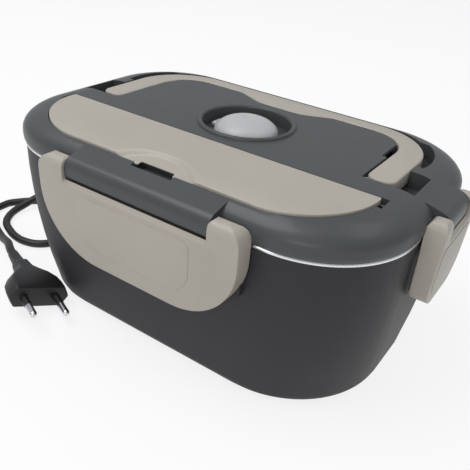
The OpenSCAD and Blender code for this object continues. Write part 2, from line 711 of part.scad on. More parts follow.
pin_in = 6;
end_pocket = 3;
cover_pin_in = 5.8;
handle_pin_out = 6.5;
module lid_shell() color(charcoal) difference() {
    union() {
        difference() {
            lid_solid();
            rim_sweep(lid_inner);
            core_block(flange_z - 1, lid_top - lid_wall);
        }
        intersection() {
            union() {
                translate([0, 0, shelf_z]) linear_extrude(40) cover_outline(cover_gap + well_wall);
                translate([0, 0, comp_z - well_wall]) linear_extrude(40)
                    cover_outline(cover_gap - comp_in + well_wall);
                translate([0, 0, channel_z - well_wall]) linear_extrude(40) {
                    handle_outline(handle_gap + well_wall);
                    pocket_outline(well_wall);
                }
                translate([0, 0, turning_z - well_wall]) linear_extrude(40) turning_outline(well_wall);
                translate([0, vent_y, dish_z - well_wall]) cylinder(h = 40, r = dish_r + well_wall);
                translate([-cover_l / 2 - end_pocket - 5, -hinge_y - hinge_block, hinge_z - hinge_block])
                    cube([cover_l + 2 * end_pocket + 10, 2 * hinge_block, 20]);
            }
            union() {
                lid_solid();
                translate([0, 0, comp_z - well_wall]) linear_extrude(lid_h) cover_outline(-comp_in / 2);
            }
        }
        // Tube that carries steam from the inner panel to the dish
        translate([0, vent_y, panel_z + panel_t])
            cylinder(h = dish_z - panel_z - panel_t, r = steam_r + drop_fit + well_wall);
        for (i = [0, 1]) on_side(i) ledge(side_ledge[i]);
        translate([0, vent_y, lid_top - 1]) rotate_extrude() polygon(concat([[dish_r - 1, 0],
            [dish_r + 3, 0]], arc([dish_r + 1.5, 1], 1.5, 0, 180, 8)));
    }
    // Seat of the cover, which follows the lid's shoulder just below the cover
    difference() {
        translate([0, 0, comp_z]) linear_extrude(40) cover_outline(cover_gap);
        translate([0, 0, cover_proud - cover_t - seat_gap]) lid_solid();
    }
    translate([0, 0, comp_z]) linear_extrude(40) cover_outline(cover_gap - comp_in);
    // Trough that the hinge barrel turns in
    translate([-cover_l / 2 - cover_gap, -hinge_y, hinge_z])
        pin_x(0, cover_l + 2 * cover_gap, barrel_r + cover_gap);
    translate([-cover_l / 2 - cover_gap, -hinge_y - barrel_r, hinge_z])
        cube([cover_l + 2 * cover_gap, 2 * barrel_r + cover_gap, 10]);
    for (s = [0, 1]) mirror([s, 0, 0]) {
        translate([cover_l / 2, -hinge_y - barrel_r - 3, hinge_z - 1])
            cube([end_pocket, 2 * barrel_r + 3.5, 10]);
        translate([0, -hinge_y, hinge_z])
            pin_x(cover_l / 2 - 1, cover_pin_in + 1, cover_pin_r + running_fit);
        translate([0, -handle_pivot_y, handle_pivot_z])
            pin_x(handle_x - arm_w - handle_pin_out, handle_pin_out + 2, handle_pin_r);
    }
    translate([-slot_w / 2, -cover_front - 3.2, slot_z]) cube([slot_w, 8, 10]);
    translate([0, 0, channel_z]) linear_extrude(40) {
        handle_outline(handle_gap);
        pocket_outline(0);
    }
    translate([0, 0, turning_z]) linear_extrude(40) turning_outline(0);
    translate([0, vent_y, dish_z]) cylinder(h = 40, r = dish_r);
    translate([0, vent_y, panel_z]) cylinder(h = 40, r = steam_r + drop_fit);
    for (i = [0, 1], s = [0, 1]) on_side(i) mirror([s, 0, 0])
        translate([0, -pivot_out, pivot_z]) pin_x(side_ledge[i] - pin_in, 20, pin_r);
}

// Panel that closes the lid from below and carries the gasket. Its flange seats
// against the underside of the wells.
panel_gap = 1.6;
panel_r = steel_r - steel_t - panel_gap;
panel_out = rim_r + lid_swell - lid_wall - drop_fit;
panel_z = flange_z - panel_drop;
panel_t = 1.8;
gasket_z = flange_z + gasket_t;
module lid_inner_panel() color([0.36, 0.36, 0.37]) difference() {
    union() {
        rim_sweep([[0, panel_z], [panel_r - 2, panel_z], [panel_r, panel_z + 2], [panel_r, gasket_z],
            [panel_out, gasket_z], [panel_out, channel_z - well_wall],
            [panel_r - panel_t, channel_z - well_wall], [panel_r - panel_t, panel_z + panel_t],
            [0, panel_z + panel_t]]);
        core_block(panel_z, panel_z + panel_t);
    }
    translate([0, vent_y, panel_z - 1]) cylinder(h = 4, r = steam_r);
}

module lid_gasket() color([0.92, 0.92, 0.9]) rim_sweep([[panel_r, flange_z],
    [panel_r + gasket_w, flange_z], [panel_r + gasket_w, gasket_z], [panel_r, gasket_z]]);

module latch_pins() color(steel) for (i = [0, 1], s = [0, 1]) on_side(i) mirror([s, 0, 0])
    translate([0, -pivot_out, pivot_z]) pin_x(side_ledge[i] - pin_in, pin_l, pin_r);

// Cutlery cover

cover_pin_r = 1;
cover_pin_grip = 6;
scoop_r = (pow(scoop_w / 2, 2) + scoop_d * scoop_d) / (2 * scoop_d);
module cutlery_cover() color(taupe) difference() {
    union() {
        intersection() {
            translate([0, 0, comp_z]) linear_extrude(40) cover_outline(0);
            difference() {
                translate([0, 0, cover_proud]) lid_solid();
                translate([0, 0, cover_proud - cover_t]) lid_solid();
            }
            translate([-cover_l, -cover_front - 5, 0])
                cube([2 * cover_l, cover_front + 5 - hinge_y, 2 * lid_top]);
        }
        translate([0, -hinge_y, hinge_z]) pin_x(-cover_l / 2, cover_l, barrel_r);
    }
    translate([0, -cover_front + scoop_d - scoop_r, 0]) cylinder(h = 2 * lid_top, r = scoop_r);
    for (s = [0, 1]) mirror([s, 0, 0]) translate([0, -hinge_y, hinge_z])
        pin_x(cover_l / 2 - cover_pin_grip, cover_pin_grip + 1, cover_pin_r);
}

module cover_pins() color(steel) for (s = [0, 1]) mirror([s, 0, 0]) translate([0, -hinge_y, hinge_z])
    pin_x(cover_l / 2 - cover_pin_grip, cover_pin_grip + cover_pin_in - 0.3, cover_pin_r);

// Handle

handle_pin_reach = 9.5;
module handle() color(taupe) difference() {
    intersection() {
        translate([0, 0, handle_z]) linear_extrude(handle_t) handle_outline(0);
        // The front ends of the arms are rounded about the pivots
        union() {
            translate([-handle_x, -handle_pivot_y, 0])
                cube([2 * handle_x, handle_back + handle_pivot_y, 2 * lid_top]);
            translate([0, -handle_pivot_y, handle_pivot_z]) pin_x(-handle_x, 2 * handle_x, arm_end_r);
        }
    }
    for (s = [0, 1]) mirror([s, 0, 0]) translate([0, -handle_pivot_y, handle_pivot_z])
        pin_x(handle_x - arm_w - 1, handle_pin_reach + 2, handle_pin_r + running_fit);
}

module handle_pins() color(steel) for (s = [0, 1]) mirror([s, 0, 0])
    translate([0, -handle_pivot_y, handle_pivot_z])
        pin_x(handle_x - arm_w - handle_pin_out, handle_pin_out + handle_pin_reach, handle_pin_r);

// Vent

dome_foot = 1.2;
module vent_plug() color([0.9, 0.9, 0.91]) translate([0, vent_y, dish_z]) difference() {
    union() {
        rotate_extrude() polygon(concat([[0, 0], [dome_r - 1, 0], [dome_r, dome_foot]],
            [for (i = [1:9]) [dome_r * cos(10 * i), dome_foot + (dome_h - dome_foot) * sin(10 * i)]]));
        translate([0, 0, -4]) cylinder(h = 5, r = steam_r);
        translate([-dome_r - 2.5, -4, 0]) cube([8, 8, 2]);
    }
    translate([0, 0, dome_h + 1]) sphere(3);
}

// Latches

latch_in = 3;
bar_z = flange_z - 0.8;
shoulder_r = 8;
smile_rise = [36, 15];
smile_flat = [24, 9];
// Outline of a latch's face, set in by g: round shoulders over the arms, a smile below
module latch_outline(i, half, g) {
    low = latch_low[i] + g;
    top = pivot_z + horn_r - g;
    polygon(concat(arc([half - g - shoulder_r, top - shoulder_r], shoulder_r, 0, 90, 6),
        arc([-half + g + shoulder_r, top - shoulder_r], shoulder_r, 90, 180, 6),
        [for (s = [-1, 1], a = [0:9]) let (c = (s < 0 ? 180 : 270) + 10 * a)
            [s * smile_flat[i] + (half - g - smile_flat[i]) * cos(c), low + smile_rise[i] * (1 + sin(c))]]));
}

// Side view of a latch without its round head
face_low_y = 7.8;
face_bend_y = 9.2;
face_bend_z = 4;
nose_root = 9.2;
function latch_side(low) = [[-latch_in - 1, low + 3], [-latch_in - 3, low], [-face_low_y - 1, low],
    [-face_bend_y - 0.4, low + face_bend_z], [-pivot_out - horn_r, bar_z], [-pivot_out - horn_r, pivot_z],
    [-pivot_out + horn_r, pivot_z], [-latch_in, bar_z - 4]];

module latch(i) on_side(i) {
    half = side_ledge[i] + drop_fit * 2 + side_horn[i];
    low = latch_low[i];
    difference() {
        intersection() {
            rotate([90, 0, 0]) linear_extrude(20) latch_outline(i, half, 0);
            translate([-half, 0, 0]) rotate([90, 0, 90]) linear_extrude(2 * half) {
                polygon(latch_side(low));
                translate([-pivot_out, pivot_z]) circle(horn_r);
            }
        }
        // Room for the ledge between the arms, over the sloping top of the bar
        translate([-side_ledge[i] - drop_fit * 2, 0, 0]) rotate([90, 0, 90])
            linear_extrude(2 * side_ledge[i] + drop_fit * 4)
                polygon([[0, bar_z], [-pivot_out, bar_z], [-20, bar_z - 6], [-20, 200], [0, 200]]);
        // Hollow behind the face
        intersection() {
            rotate([90, 0, 0]) linear_extrude(20) latch_outline(i, half, latch_wall);
            translate([-half, 0, 0]) rotate([90, 0, 90]) linear_extrude(2 * half)
                polygon([[0, bar_z - latch_wall], [-pivot_out - horn_r + latch_wall, bar_z - latch_wall],
                    [-face_bend_y + latch_wall - 0.4, low + face_bend_z], [0, low + face_bend_z]]);
        }
        for (s = [0, 1]) mirror([s, 0, 0]) translate([0, -pivot_out, pivot_z])
            pin_x(side_ledge[i] - 1, 1 + pin_l - pin_in + 0.6, pin_r + running_fit);
    }
    // Nose that stands at the catch's groove
    nose_half = side_ledge[i] + side_horn[i] - 6;
    nose_z = catch_z + catch_h / 2;
    translate([-nose_half, 0, 0]) rotate([90, 0, 90]) linear_extrude(2 * nose_half)
        polygon([[-catch_out - nose_gap, nose_z + 0.8], [-catch_out - nose_gap, nose_z - 0.8],
            [-nose_root, nose_z - 3], [-nose_root, nose_z + 1.6]]);
}

module front_latch() color(taupe) latch(0);
module right_latch() color(taupe) latch(1);

// Cord

conn_l = 15;
conn_w = inlet_w + 4;
conn_h = inlet_h + 3.4;
conn_x = inlet_x;
module cord_connector() color(black) translate([0, inlet_y, inlet_z]) rotate([0, 90, 0]) difference() {
    union() {
        translate([0, 0, conn_x - conn_l]) linear_extrude(conn_l) rounded_rect(conn_h, conn_w, 4);
        translate([0, 0, conn_x - 1]) linear_extrude(inlet_depth) rounded_rect(inlet_h - 2 * drop_fit,
            inlet_w - 2 * drop_fit, 2.2);
    }
    for (s = [-1, 1]) translate([0, s * contact_dy / 2, conn_x - 3]) cylinder(h = 30, r = contact_r + 0.15);
    for (i = [0:2], s = [-1, 1]) translate([0, s * conn_w / 2, conn_x - 4 - 4 * i])
        rotate([0, 90, 0]) cylinder(h = conn_h + 2, r = 0.8, center = true);
}

relief_x = conn_x - conn_l - relief_l;
module connector_relief() color(black) translate([relief_x, inlet_y, inlet_z]) rotate([0, 90, 0])
    rotate_extrude() polygon(concat([[0, 0], [cord_d / 2 + 0.5, 0]],
        [for (i = [0:4], s = [0.15, 0.6, 0.6, 1.0]) let (z = relief_l * (i + s) / 5,
            r = cord_d / 2 + 0.6 + 2.6 * z / relief_l)
            [r - ((s == 0.15) ? 0.7 : 0), z - ((s == 1.0) ? 0.6 : 0)]],
        [[cord_d / 2 + 3.4, relief_l], [0, relief_l]]));

// Rings of a tube along a route. The route never runs straight up.
function unit(v) = v / norm(v);
function tube_ring(p, t, r, n) = let (s = unit(cross(t, [0, 0, 1])), u = cross(s, t))
    [for (i = [0:n - 1]) p + r * (cos(360 * i / n) * s + sin(360 * i / n) * u)];
function tube_rings(route, r, n) = [for (i = [0:len(route) - 1])
    tube_ring(route[i], unit(route[min(i + 1, len(route) - 1)] - route[max(i - 1, 0)]), r, n)];

cord_r = cord_d / 2;
coil_at = [-70, 124];
coil_pitch = cord_d + 0.6;
coil_layer = cord_d + 0.5;
coil_steps = 24;
function smooth(t) = let (c = max(0, min(1, t))) c * c * (3 - 2 * c);
// A point t turns along the coil: in and out again, with the climb where it reverses
function coil_point(t) = let (r = coil_r - coil_pitch * min(t, coil_turns - t), a = 180 - 360 * t)
    [coil_at[0] + r * cos(a), coil_at[1] + r * sin(a),
     cord_r + coil_layer * smooth(2 * (t - coil_turns / 2) + 0.5)];
coil_points = concat([coil_point(0) - [0, cord_d, 0]],
    [for (i = [0:round(coil_turns * coil_steps)]) coil_point(i / coil_steps)],
    [coil_point(coil_turns) - [cord_d, 0, 0]]);

// Middle of the plug's face, and a point on its axis d in front of that
plug_face = [-67.5, -87.2];
plug_yaw = -22;
plug_l = 36;
plug_half_t = 6.85;
plug_roll = -17;
plug_z = 10.5;
plug_relief_l = 14;
plug_pin_gap = 18.6;
plug_pin_l = 19;
function plug_at(d) = [plug_face[0] + d * cos(plug_yaw), plug_face[1] + d * sin(plug_yaw), plug_z];

// From the strain relief to the floor, forward, and back beside the box to the coil
near_route = concat([[relief_x, inlet_y, inlet_z], [relief_x - cord_d, inlet_y, inlet_z]],
    [[-156, 3, 14], [-162.5, -1, 11], [-167, -6.5, 7.6], [-169.5, -14.5, 4.6], [-169.5, -24, 3],
     [-166, -32, 2.6], [-160, -38.5, 2.6], [-151, -43, 2.6], [-141, -46, 2.6], [-131, -46, 2.6],
     [-122, -42, 2.6], [-116, -33, 2.6], [-113, -21, 2.6], [-112, -6, 2.6], [-112, 8, 2.6],
     [-112, 22, 2.6], [-112, 38, 2.6], [-112, 54, 2.6], [-111.5, 70, 2.6], [-109.5, 84, 2.6],
     [-107, 98, 2.6], [-105, 110, 2.6]], [coil_points[0]]);
// From the coil over the other run, forward on the floor and round to the plug
far_route = concat([coil_points[len(coil_points) - 1]],
    [[-88, 90, 8.3], [-100, 89.5, 8.3], [-112, 88, 8.3], [-123, 84.5, 7.5], [-132, 78, 5.6],
     [-139, 69, 3.8], [-144, 58, 2.8], [-147, 45, 2.6], [-150, 31, 2.6], [-155, 18, 2.6],
     [-162, 7, 2.6], [-170, -2, 2.6], [-177.5, -11, 2.6], [-182.5, -20, 2.6], [-182.5, -30, 2.6],
     [-177, -37.5, 2.6], [-168, -43, 2.6], [-158, -48, 2.6], [-148, -52.5, 3.6], [-138.5, -56.5, 6],
     [-129.5, -60.3, 8.8]], [plug_at(-plug_l - plug_relief_l - cord_d), plug_at(-plug_l - plug_relief_l)]);

function route_length(p) = let (d = [for (i = [1:len(p) - 1]) norm(p[i] - p[i - 1])]) d * [for (x = d) 1];
coil_gap = min([for (i = [0:len(coil_points) - 1], j = [i + 8:1:len(coil_points) - 1])
    norm(coil_points[i] - coil_points[j])]) - cord_d;
echo(coil_gap = coil_gap, coil_length = route_length(coil_points),
    cord_length = route_length(near_route) + route_length(coil_points) + route_length(far_route));

module cord_near() color(black) loft(tube_rings(near_route, cord_r, 8));
module cord_far() color(black) loft(tube_rings(far_route, cord_r, 8));
module cord_coil() color(black) loft(tube_rings(coil_points, cord_r, 6));

// The plug is drawn standing on its rear end and laid down with its pins along plug_yaw
module lay_plug() {
    translate(plug_at(-plug_l)) rotate([0, 0, plug_yaw]) rotate([0, 90, 0]) rotate([0, 0, plug_roll])
        children();
}
// Half widths of the plug's body, and its place from the rear
plug_sections = [[0, 5.2, 5], [5, 5.4, 5.4], [9, 6.4, 6], [15, 11.4, 6.5], [21, 15.6, plug_half_t],
    [27, 17.4, plug_half_t], [33, 17.65, plug_half_t], [plug_l, 16.6, 5.9]];
module plug_body() color(black) lay_plug() loft([for (s = plug_sections)
    rect_ring(s[2], s[1], min(s[2], s[1]) * 0.75, s[0], 4)]);
module plug_relief() color(black) lay_plug() translate([0, 0, -plug_relief_l])
    rotate_extrude() polygon([[0, 0], [cord_r + 0.5, 0], [cord_r + 0.7, 4], [cord_r + 1, 9],
        [cord_r + 1.8, plug_relief_l], [0, plug_relief_l]]);
module plug_pins() color(steel) lay_plug() for (s = [-1, 1]) translate([0, s * plug_pin_gap / 2, plug_l])
    rotate_extrude() polygon(concat([[0, 0], [2, 0]], arc([0, plug_pin_l - 2], 2, 0, 90, 5)));

placed() outer_housing();
placed() inner_liner();
placed() heating_plate();
placed() ptc_heater();
placed() heater_bracket();
placed() bracket_screws();
placed() thermostat();
placed() thermal_fuse();
placed() lead_wires();
placed() base_cover();
placed() base_screws();
placed() rubber_feet();
placed() power_inlet();
placed() inlet_pins();
placed() indicator_lamp();
placed() steel_container();
placed() lid_shell();
placed() lid_inner_panel();
placed() lid_gasket();
placed() latch_pins();
placed() handle_pins();
placed() cutlery_cover();
placed() cover_pins();
placed() handle();
placed() vent_plug();
placed() front_latch();
placed() right_latch();
placed() cord_connector();
placed() connector_relief();
placed() cord_near();
placed() cord_coil();
placed() cord_far();
placed() plug_relief();
placed() plug_body();
placed() plug_pins();
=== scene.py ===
import json
import math

import bmesh
import bpy
from mathutils import Matrix, Vector

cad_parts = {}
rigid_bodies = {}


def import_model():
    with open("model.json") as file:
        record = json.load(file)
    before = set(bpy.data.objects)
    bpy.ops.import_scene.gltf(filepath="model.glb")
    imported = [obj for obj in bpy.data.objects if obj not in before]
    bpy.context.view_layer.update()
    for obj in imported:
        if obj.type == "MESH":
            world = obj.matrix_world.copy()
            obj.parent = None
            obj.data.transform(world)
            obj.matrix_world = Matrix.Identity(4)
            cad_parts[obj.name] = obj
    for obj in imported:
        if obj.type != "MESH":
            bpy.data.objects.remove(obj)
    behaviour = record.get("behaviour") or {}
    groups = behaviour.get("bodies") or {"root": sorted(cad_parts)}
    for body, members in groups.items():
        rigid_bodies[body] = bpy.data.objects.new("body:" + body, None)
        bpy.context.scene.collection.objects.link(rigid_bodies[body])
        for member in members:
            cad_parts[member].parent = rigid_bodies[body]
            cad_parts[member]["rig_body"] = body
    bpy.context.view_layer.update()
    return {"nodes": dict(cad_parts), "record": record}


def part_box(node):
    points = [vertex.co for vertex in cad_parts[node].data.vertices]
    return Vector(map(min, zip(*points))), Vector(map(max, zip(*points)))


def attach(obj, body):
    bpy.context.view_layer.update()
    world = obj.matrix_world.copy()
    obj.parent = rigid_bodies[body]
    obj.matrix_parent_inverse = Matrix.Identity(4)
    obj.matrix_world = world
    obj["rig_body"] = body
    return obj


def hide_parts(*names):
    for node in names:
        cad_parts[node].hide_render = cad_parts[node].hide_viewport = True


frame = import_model()
nodes = frame["nodes"]
mm = 0.001

# heights and half sizes that several pieces share, read from the frame; pieces are made about
# the middle of the container's rim and then moved there
rimLow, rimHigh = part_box("steel_container")
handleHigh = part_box("handle")[1]
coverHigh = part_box("cutlery_cover")[1]
pinLow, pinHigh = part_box("latch_pins")
middle = Vector(((rimLow.x + rimHigh.x) / 2, (rimLow.y + rimHigh.y) / 2, 0))
halfLength = rimHigh.x - middle.x
halfWidth = rimHigh.y - middle.y
flangeTop = rimHigh.z
lidTop = handleHigh.z
pivotZ = (pinLow.z + pinHigh.z) / 2
print("frame loaded:", len(nodes), "nodes")


# camera at the photograph's place

camera = {"azimuth": 31.78, "elevation": 30.48, "roll": 5.25, "lens": 46.98, "sensor": 36.0,
          "clipStart": 0.01, "distance": 338.35 * mm, "target": (15.53 * mm, -18.15 * mm, 54.0 * mm)}


def placeCamera():
    a, e, r = (math.radians(camera[k]) for k in ("azimuth", "elevation", "roll"))
    back = Vector((math.sin(a) * math.cos(e), -math.cos(a) * math.cos(e), math.sin(e)))
    right = Vector((math.cos(a), math.sin(a), 0))
    up = back.cross(right)
    rightRolled = right * math.cos(r) + up * math.sin(r)
    upRolled = up * math.cos(r) - right * math.sin(r)
    turn = Matrix((rightRolled, upRolled, back)).transposed().to_4x4()
    data = bpy.data.cameras.new("photoCamera")
    data.lens = camera["lens"]
    data.sensor_width = camera["sensor"]
    data.clip_start = camera["clipStart"]
    eye = bpy.data.objects.new("photoCamera", data)
    place = Vector(camera["target"]) + middle + back * camera["distance"]
    eye.matrix_world = Matrix.Translation(place) @ turn
    bpy.context.scene.collection.objects.link(eye)
    bpy.context.scene.camera = eye


placeCamera()


# finishes: shader maths on wrapped sockets

class Signal:
    def __init__(self, finish, socket):
        self.finish = finish
        self.socket = socket

    def combine(self, operation, first, second):
        return self.finish.add("ShaderNodeMath", {"operation": operation}, {0: first, 1: second})

    def __add__(self, other):
        return self.combine("ADD", self, other)

    def __radd__(self, other):
        return self.combine("ADD", other, self)

    def __rmul__(self, other):
        return self.combine("MULTIPLY", other, self)


class Finish:
    def __init__(self, name):
        self.material = bpy.data.materials.new(name)
        self.material.use_nodes = True
        self.tree = self.material.node_tree
        self.tree.nodes.clear()
        self.place = self.add("ShaderNodeTexCoord", output="Object")

    def add(self, kind, settings=None, sockets=None, output=0):
        node = self.tree.nodes.new(kind)
        for key, value in (settings or {}).items():
            setattr(node, key, value)
        for key, value in (sockets or {}).items():
            if isinstance(value, Signal):
                self.tree.links.new(value.socket, node.inputs[key])
            else:
                node.inputs[key].default_value = value
        return Signal(self, node.outputs[output]) if len(node.outputs) else node

    def noise(self, scale, detail, stretch=(1, 1, 1)):
        place = self.add("ShaderNodeMapping", None, {"Vector": self.place, "Scale": stretch})
        return self.add("ShaderNodeTexNoise", None, {"Vector": place, "Scale": scale, "Detail": detail})

    def blend(self, amount, first, second):
        return self.add("ShaderNodeMix", {"data_type": "RGBA"}, {0: amount, 6: first, 7: second}, output=2)

    def bump(self, height, strength, distance):
        return self.add("ShaderNodeBump", None,
                        {"Height": height, "Strength": strength, "Distance": distance})

    def surface(self, sockets):
        shader = self.add("ShaderNodeBsdfPrincipled", None, sockets)
        self.add("ShaderNodeOutputMaterial", None, {"Surface": shader})
        return self.material


def tint(colour, k):
    return (min(1, colour[0] * k), min(1, colour[1] * k), min(1, colour[2] * k), 1)


# moulded plastic: spark-eroded grain, faint flow mottling and handling smears
def mouldedPlastic(name, colour, roughness, grain=0.12, coat=0.0, specular=0.5):
    f = Finish(name)
    fine = f.noise(scale=2600, detail=3)
    mottle = f.noise(scale=22, detail=3)
    smear = f.noise(scale=60, detail=4, stretch=(1, 3, 1))
    base = f.blend(mottle, tint(colour, 0.93), tint(colour, 1.07))
    rough = roughness - 0.05 + 0.06 * smear + 0.05 * fine
    return f.surface({"Base Color": base, "Roughness": rough, "Coat Weight": coat, "Coat Roughness": 0.12,
                      "Specular IOR Level": specular, "Normal": f.bump(fine, strength=grain, distance=0.00005)})


# sheet steel with fine brushing along its length
def brushedSteel(name, colour, roughness, stretch=(14, 900, 900)):
    f = Finish(name)
    lines = f.noise(scale=1.6, detail=3, stretch=stretch)
    cloud = f.noise(scale=30, detail=2)
    base = f.blend(cloud, tint(colour, 0.94), tint(colour, 1.04))
    rough = roughness - 0.06 + 0.14 * lines
    return f.surface({"Base Color": base, "Metallic": 1.0, "Roughness": rough,
                      "Normal": f.bump(lines, strength=0.08, distance=0.00004)})


# silicone that lets some light through
def silicone(name, colour):
    f = Finish(name)
    cloud = f.noise(scale=45, detail=3)
    fine = f.noise(scale=1500, detail=2)
    base = f.blend(cloud, tint(colour, 0.95), tint(colour, 1.03))
    return f.surface({"Base Color": base, "Roughness": 0.34 + 0.08 * cloud, "Subsurface Weight": 0.35,
                      "Subsurface Radius": (0.004, 0.004, 0.0038), "Subsurface Scale": 0.5,
                      "Normal": f.bump(fine, strength=0.06, distance=0.00004)})


def softRubber(name, colour, roughness):
    f = Finish(name)
    fine = f.noise(scale=1800, detail=3)
    cloud = f.noise(scale=70, detail=3)
    base = f.blend(cloud, tint(colour, 0.85), tint(colour, 1.2))
    return f.surface({"Base Color": base, "Roughness": roughness + 0.08 * cloud,
                      "Normal": f.bump(fine, strength=0.12, distance=0.00005)})


def ceramicBody(name, colour):
    f = Finish(name)
    speck = f.noise(scale=900, detail=4)
    base = f.blend(speck, tint(colour, 0.85), tint(colour, 1.06))
    return f.surface({"Base Color": base, "Roughness": 0.55 + 0.1 * speck,
                      "Normal": f.bump(speck, strength=0.15, distance=0.00006)})


finishes = {
    "lid_plastic": mouldedPlastic("lidPlastic", (0.050, 0.055, 0.056), roughness=0.45, grain=0.08, coat=0.10,
                                  specular=0.4),
    "housing_plastic": mouldedPlastic("housingPlastic", (0.029, 0.029, 0.032), roughness=0.50, grain=0.14,
                                      specular=0.25),
    "taupe_plastic": mouldedPlastic("taupePlastic", (0.374, 0.343, 0.293), roughness=0.42, grain=0.08),
    "liner_plastic": mouldedPlastic("linerPlastic", (0.075, 0.075, 0.08), roughness=0.45),
    "black_plastic": mouldedPlastic("blackPlastic", (0.014, 0.014, 0.015), roughness=0.42),
    "steel": brushedSteel("brushedSteel", (0.80, 0.81, 0.82), roughness=0.26),
    "plated_steel": brushedSteel("platedSteel", (0.72, 0.73, 0.75), roughness=0.2, stretch=(90, 500, 500)),
    "aluminium": brushedSteel("bareAluminium", (0.83, 0.84, 0.85), roughness=0.34),
    "ceramic": ceramicBody("heaterCeramic", (0.78, 0.74, 0.66)),
    "silicone": silicone("ventSilicone", (0.44, 0.44, 0.445)),
    "rubber": softRubber("footRubber", (0.02, 0.02, 0.02), roughness=0.6),
    "cord_black": softRubber("cordBlack", (0.009, 0.009, 0.0095), roughness=0.42),
    "lead_red": softRubber("leadRed", (0.45, 0.03, 0.025), roughness=0.4),
    "lamp_red": mouldedPlastic("lampRed", (0.5, 0.02, 0.015), roughness=0.15, grain=0.0),
}
print("finishes ready:", len(finishes))


# shared making

def addPiece(name, bm, body, slotName, smooth=38, replaced=(), moved=True):
    bmesh.ops.recalc_face_normals(bm, faces=bm.faces)
    if moved:
        bmesh.ops.translate(bm, vec=middle, verts=bm.verts)
    mesh = bpy.data.meshes.new(name)
    bm.to_mesh(mesh)
    bm.free()
    mesh.materials.append(finishes[slotName])
    mesh.shade_smooth()
    mesh.set_sharp_from_angle(angle=math.radians(smooth))
    piece = bpy.data.objects.new(name, mesh)
    bpy.context.scene.collection.objects.link(piece)
    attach(piece, body)
    if replaced:
        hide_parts(*replaced)
    return piece


def placeKey(place):
    return tuple(round(c / mm, 2) for c in place)


# level wall edges that get more corners: lengths and height difference in millimetres
wall = {"nodes": ("outer_housing",), "short": 1.5, "long": 18, "level": 0.02, "steepest": 0.75,
        "onwardLeast": 0.7, "turnMost": 0.6, "bulge": 1 / 16, "rounds": 2}


# adds a corner in the middle of each level wall edge, out on the curve through its neighbours
def roundWalls(bm):
    def level(e):
        return (abs(e.verts[0].co.z - e.verts[1].co.z) < wall["level"] * mm
                and wall["short"] < e.calc_length() / mm < wall["long"]
                and all(abs(f.normal.z) < wall["steepest"] for f in e.link_faces))

    walls = [e for e in bm.edges if level(e)]
    known = set(walls)
    moves = {}
    for e in walls:
        a, b = e.verts
        along = (b.co - a.co).normalized()
        turn = 0
        for v, way in ((a, -1), (b, 1)):
            for other in v.link_edges:
                if other in known and other is not e:
                    onward = (other.other_vert(v).co - v.co).normalized() * way
                    if along.dot(onward) > wall["onwardLeast"]:
                        turn += min(along.angle(onward), wall["turnMost"])
        out = Vector((along.y, -along.x, 0))
        centre = (a.co + b.co) / 2 - middle
        if out.dot(Vector((centre.x, centre.y, 0))) < 0:
            out = -out
        moves[placeKey((a.co + b.co) / 2)] = out * (e.calc_length() * turn * wall["bulge"])
    before = set(bm.verts)
    bmesh.ops.subdivide_edges(bm, edges=walls, cuts=1, use_grid_fill=True)
    for v in bm.verts:
        if v not in before:
            v.co += moves.get(placeKey(v.co), Vector())


# joinWithin in metres, edges in millimetres, angles in degrees; each flat face of the flatNodes is
# made one face, so that it shades and reflects evenly
skin = {"joinWithin": 2e-6, "flat": 0.4, "flatNodes": ("outer_housing", "steel_container"),
        "edges": {"lid_shell": 0.6}, "edgeFrom": 50, "edgeSteps": 2, "smooth": 30}


# a CAD node's own form with its vertices joined, so that its round faces shade smoothly
def smoothCopy(node, slotName):
    edge = skin["edges"].get(node, 0)
    bm = bmesh.new()
    bm.from_mesh(nodes[node].data)
    bmesh.ops.remove_doubles(bm, verts=bm.verts, dist=skin["joinWithin"])
    if edge or node in skin["flatNodes"]:
        bmesh.ops.dissolve_limit(bm, angle_limit=math.radians(skin["flat"]), verts=bm.verts, edges=bm.edges)
    if node in wall["nodes"]:
        for _ in range(wall["rounds"]):
            roundWalls(bm)
    words = node.split("_")
    name = words[0] + "".join(w.title() for w in words[1:]) + "Skin"
    piece = addPiece(name, bm, nodes[node]["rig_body"], slotName, smooth=skin["smooth"], replaced=(node,),
                     moved=False)
    if edge:
        soft = piece.modifiers.new("softEdges", "BEVEL")
        soft.limit_method = "ANGLE"
        soft.angle_limit = math.radians(skin["edgeFrom"])
        soft.width = edge * mm
        soft.segments = skin["edgeSteps"]
    even = piece.modifiers.new("evenNormals", "WEIGHTED_NORMAL")
    even.keep_sharp = True
    return piece


# millimetres within which two places count as the same
same = 0.01


def clamp(t):
    return max(0, min(1, t))


# eases from 0 to 1
def ease(t):
    t = clamp(t)
    return t * t * (3 - 2 * t)


# cuts everything across one axis (0 is x, 1 is y, 2 is z) at each place
def cutAcross(bm, axis, places):
    normal = [0, 0, 0]
    normal[axis] = 1
    for place in places:
        bmesh.ops.bisect_plane(bm, geom=bm.verts[:] + bm.edges[:] + bm.faces[:], dist=1e-6,
                               plane_co=[place * n for n in normal], plane_no=normal)


def faceFrom(bm, points):
    return bm.faces.new([bm.verts.new(p) for p in points])


# extrudes faces in place and gives the new vertices
def extrudeFaces(bm, faces):
    made = bmesh.ops.extrude_face_region(bm, geom=faces)
    return [v for v in made["geom"] if isinstance(v, bmesh.types.BMVert)]


def roundCorners(bm, corners, radius, segments):
    bmesh.ops.bevel(bm, geom=corners, offset=radius, offset_type="OFFSET", segments=segments, profile=0.5,
                    affect="VERTICES", material=-1, clamp_overlap=True)


def roundEdges(bm, edges, radius, segments):
    bmesh.ops.bevel(bm, geom=edges, offset=radius, offset_type="OFFSET", segments=segments, profile=0.5,
                    affect="EDGES", material=-1, clamp_overlap=True)


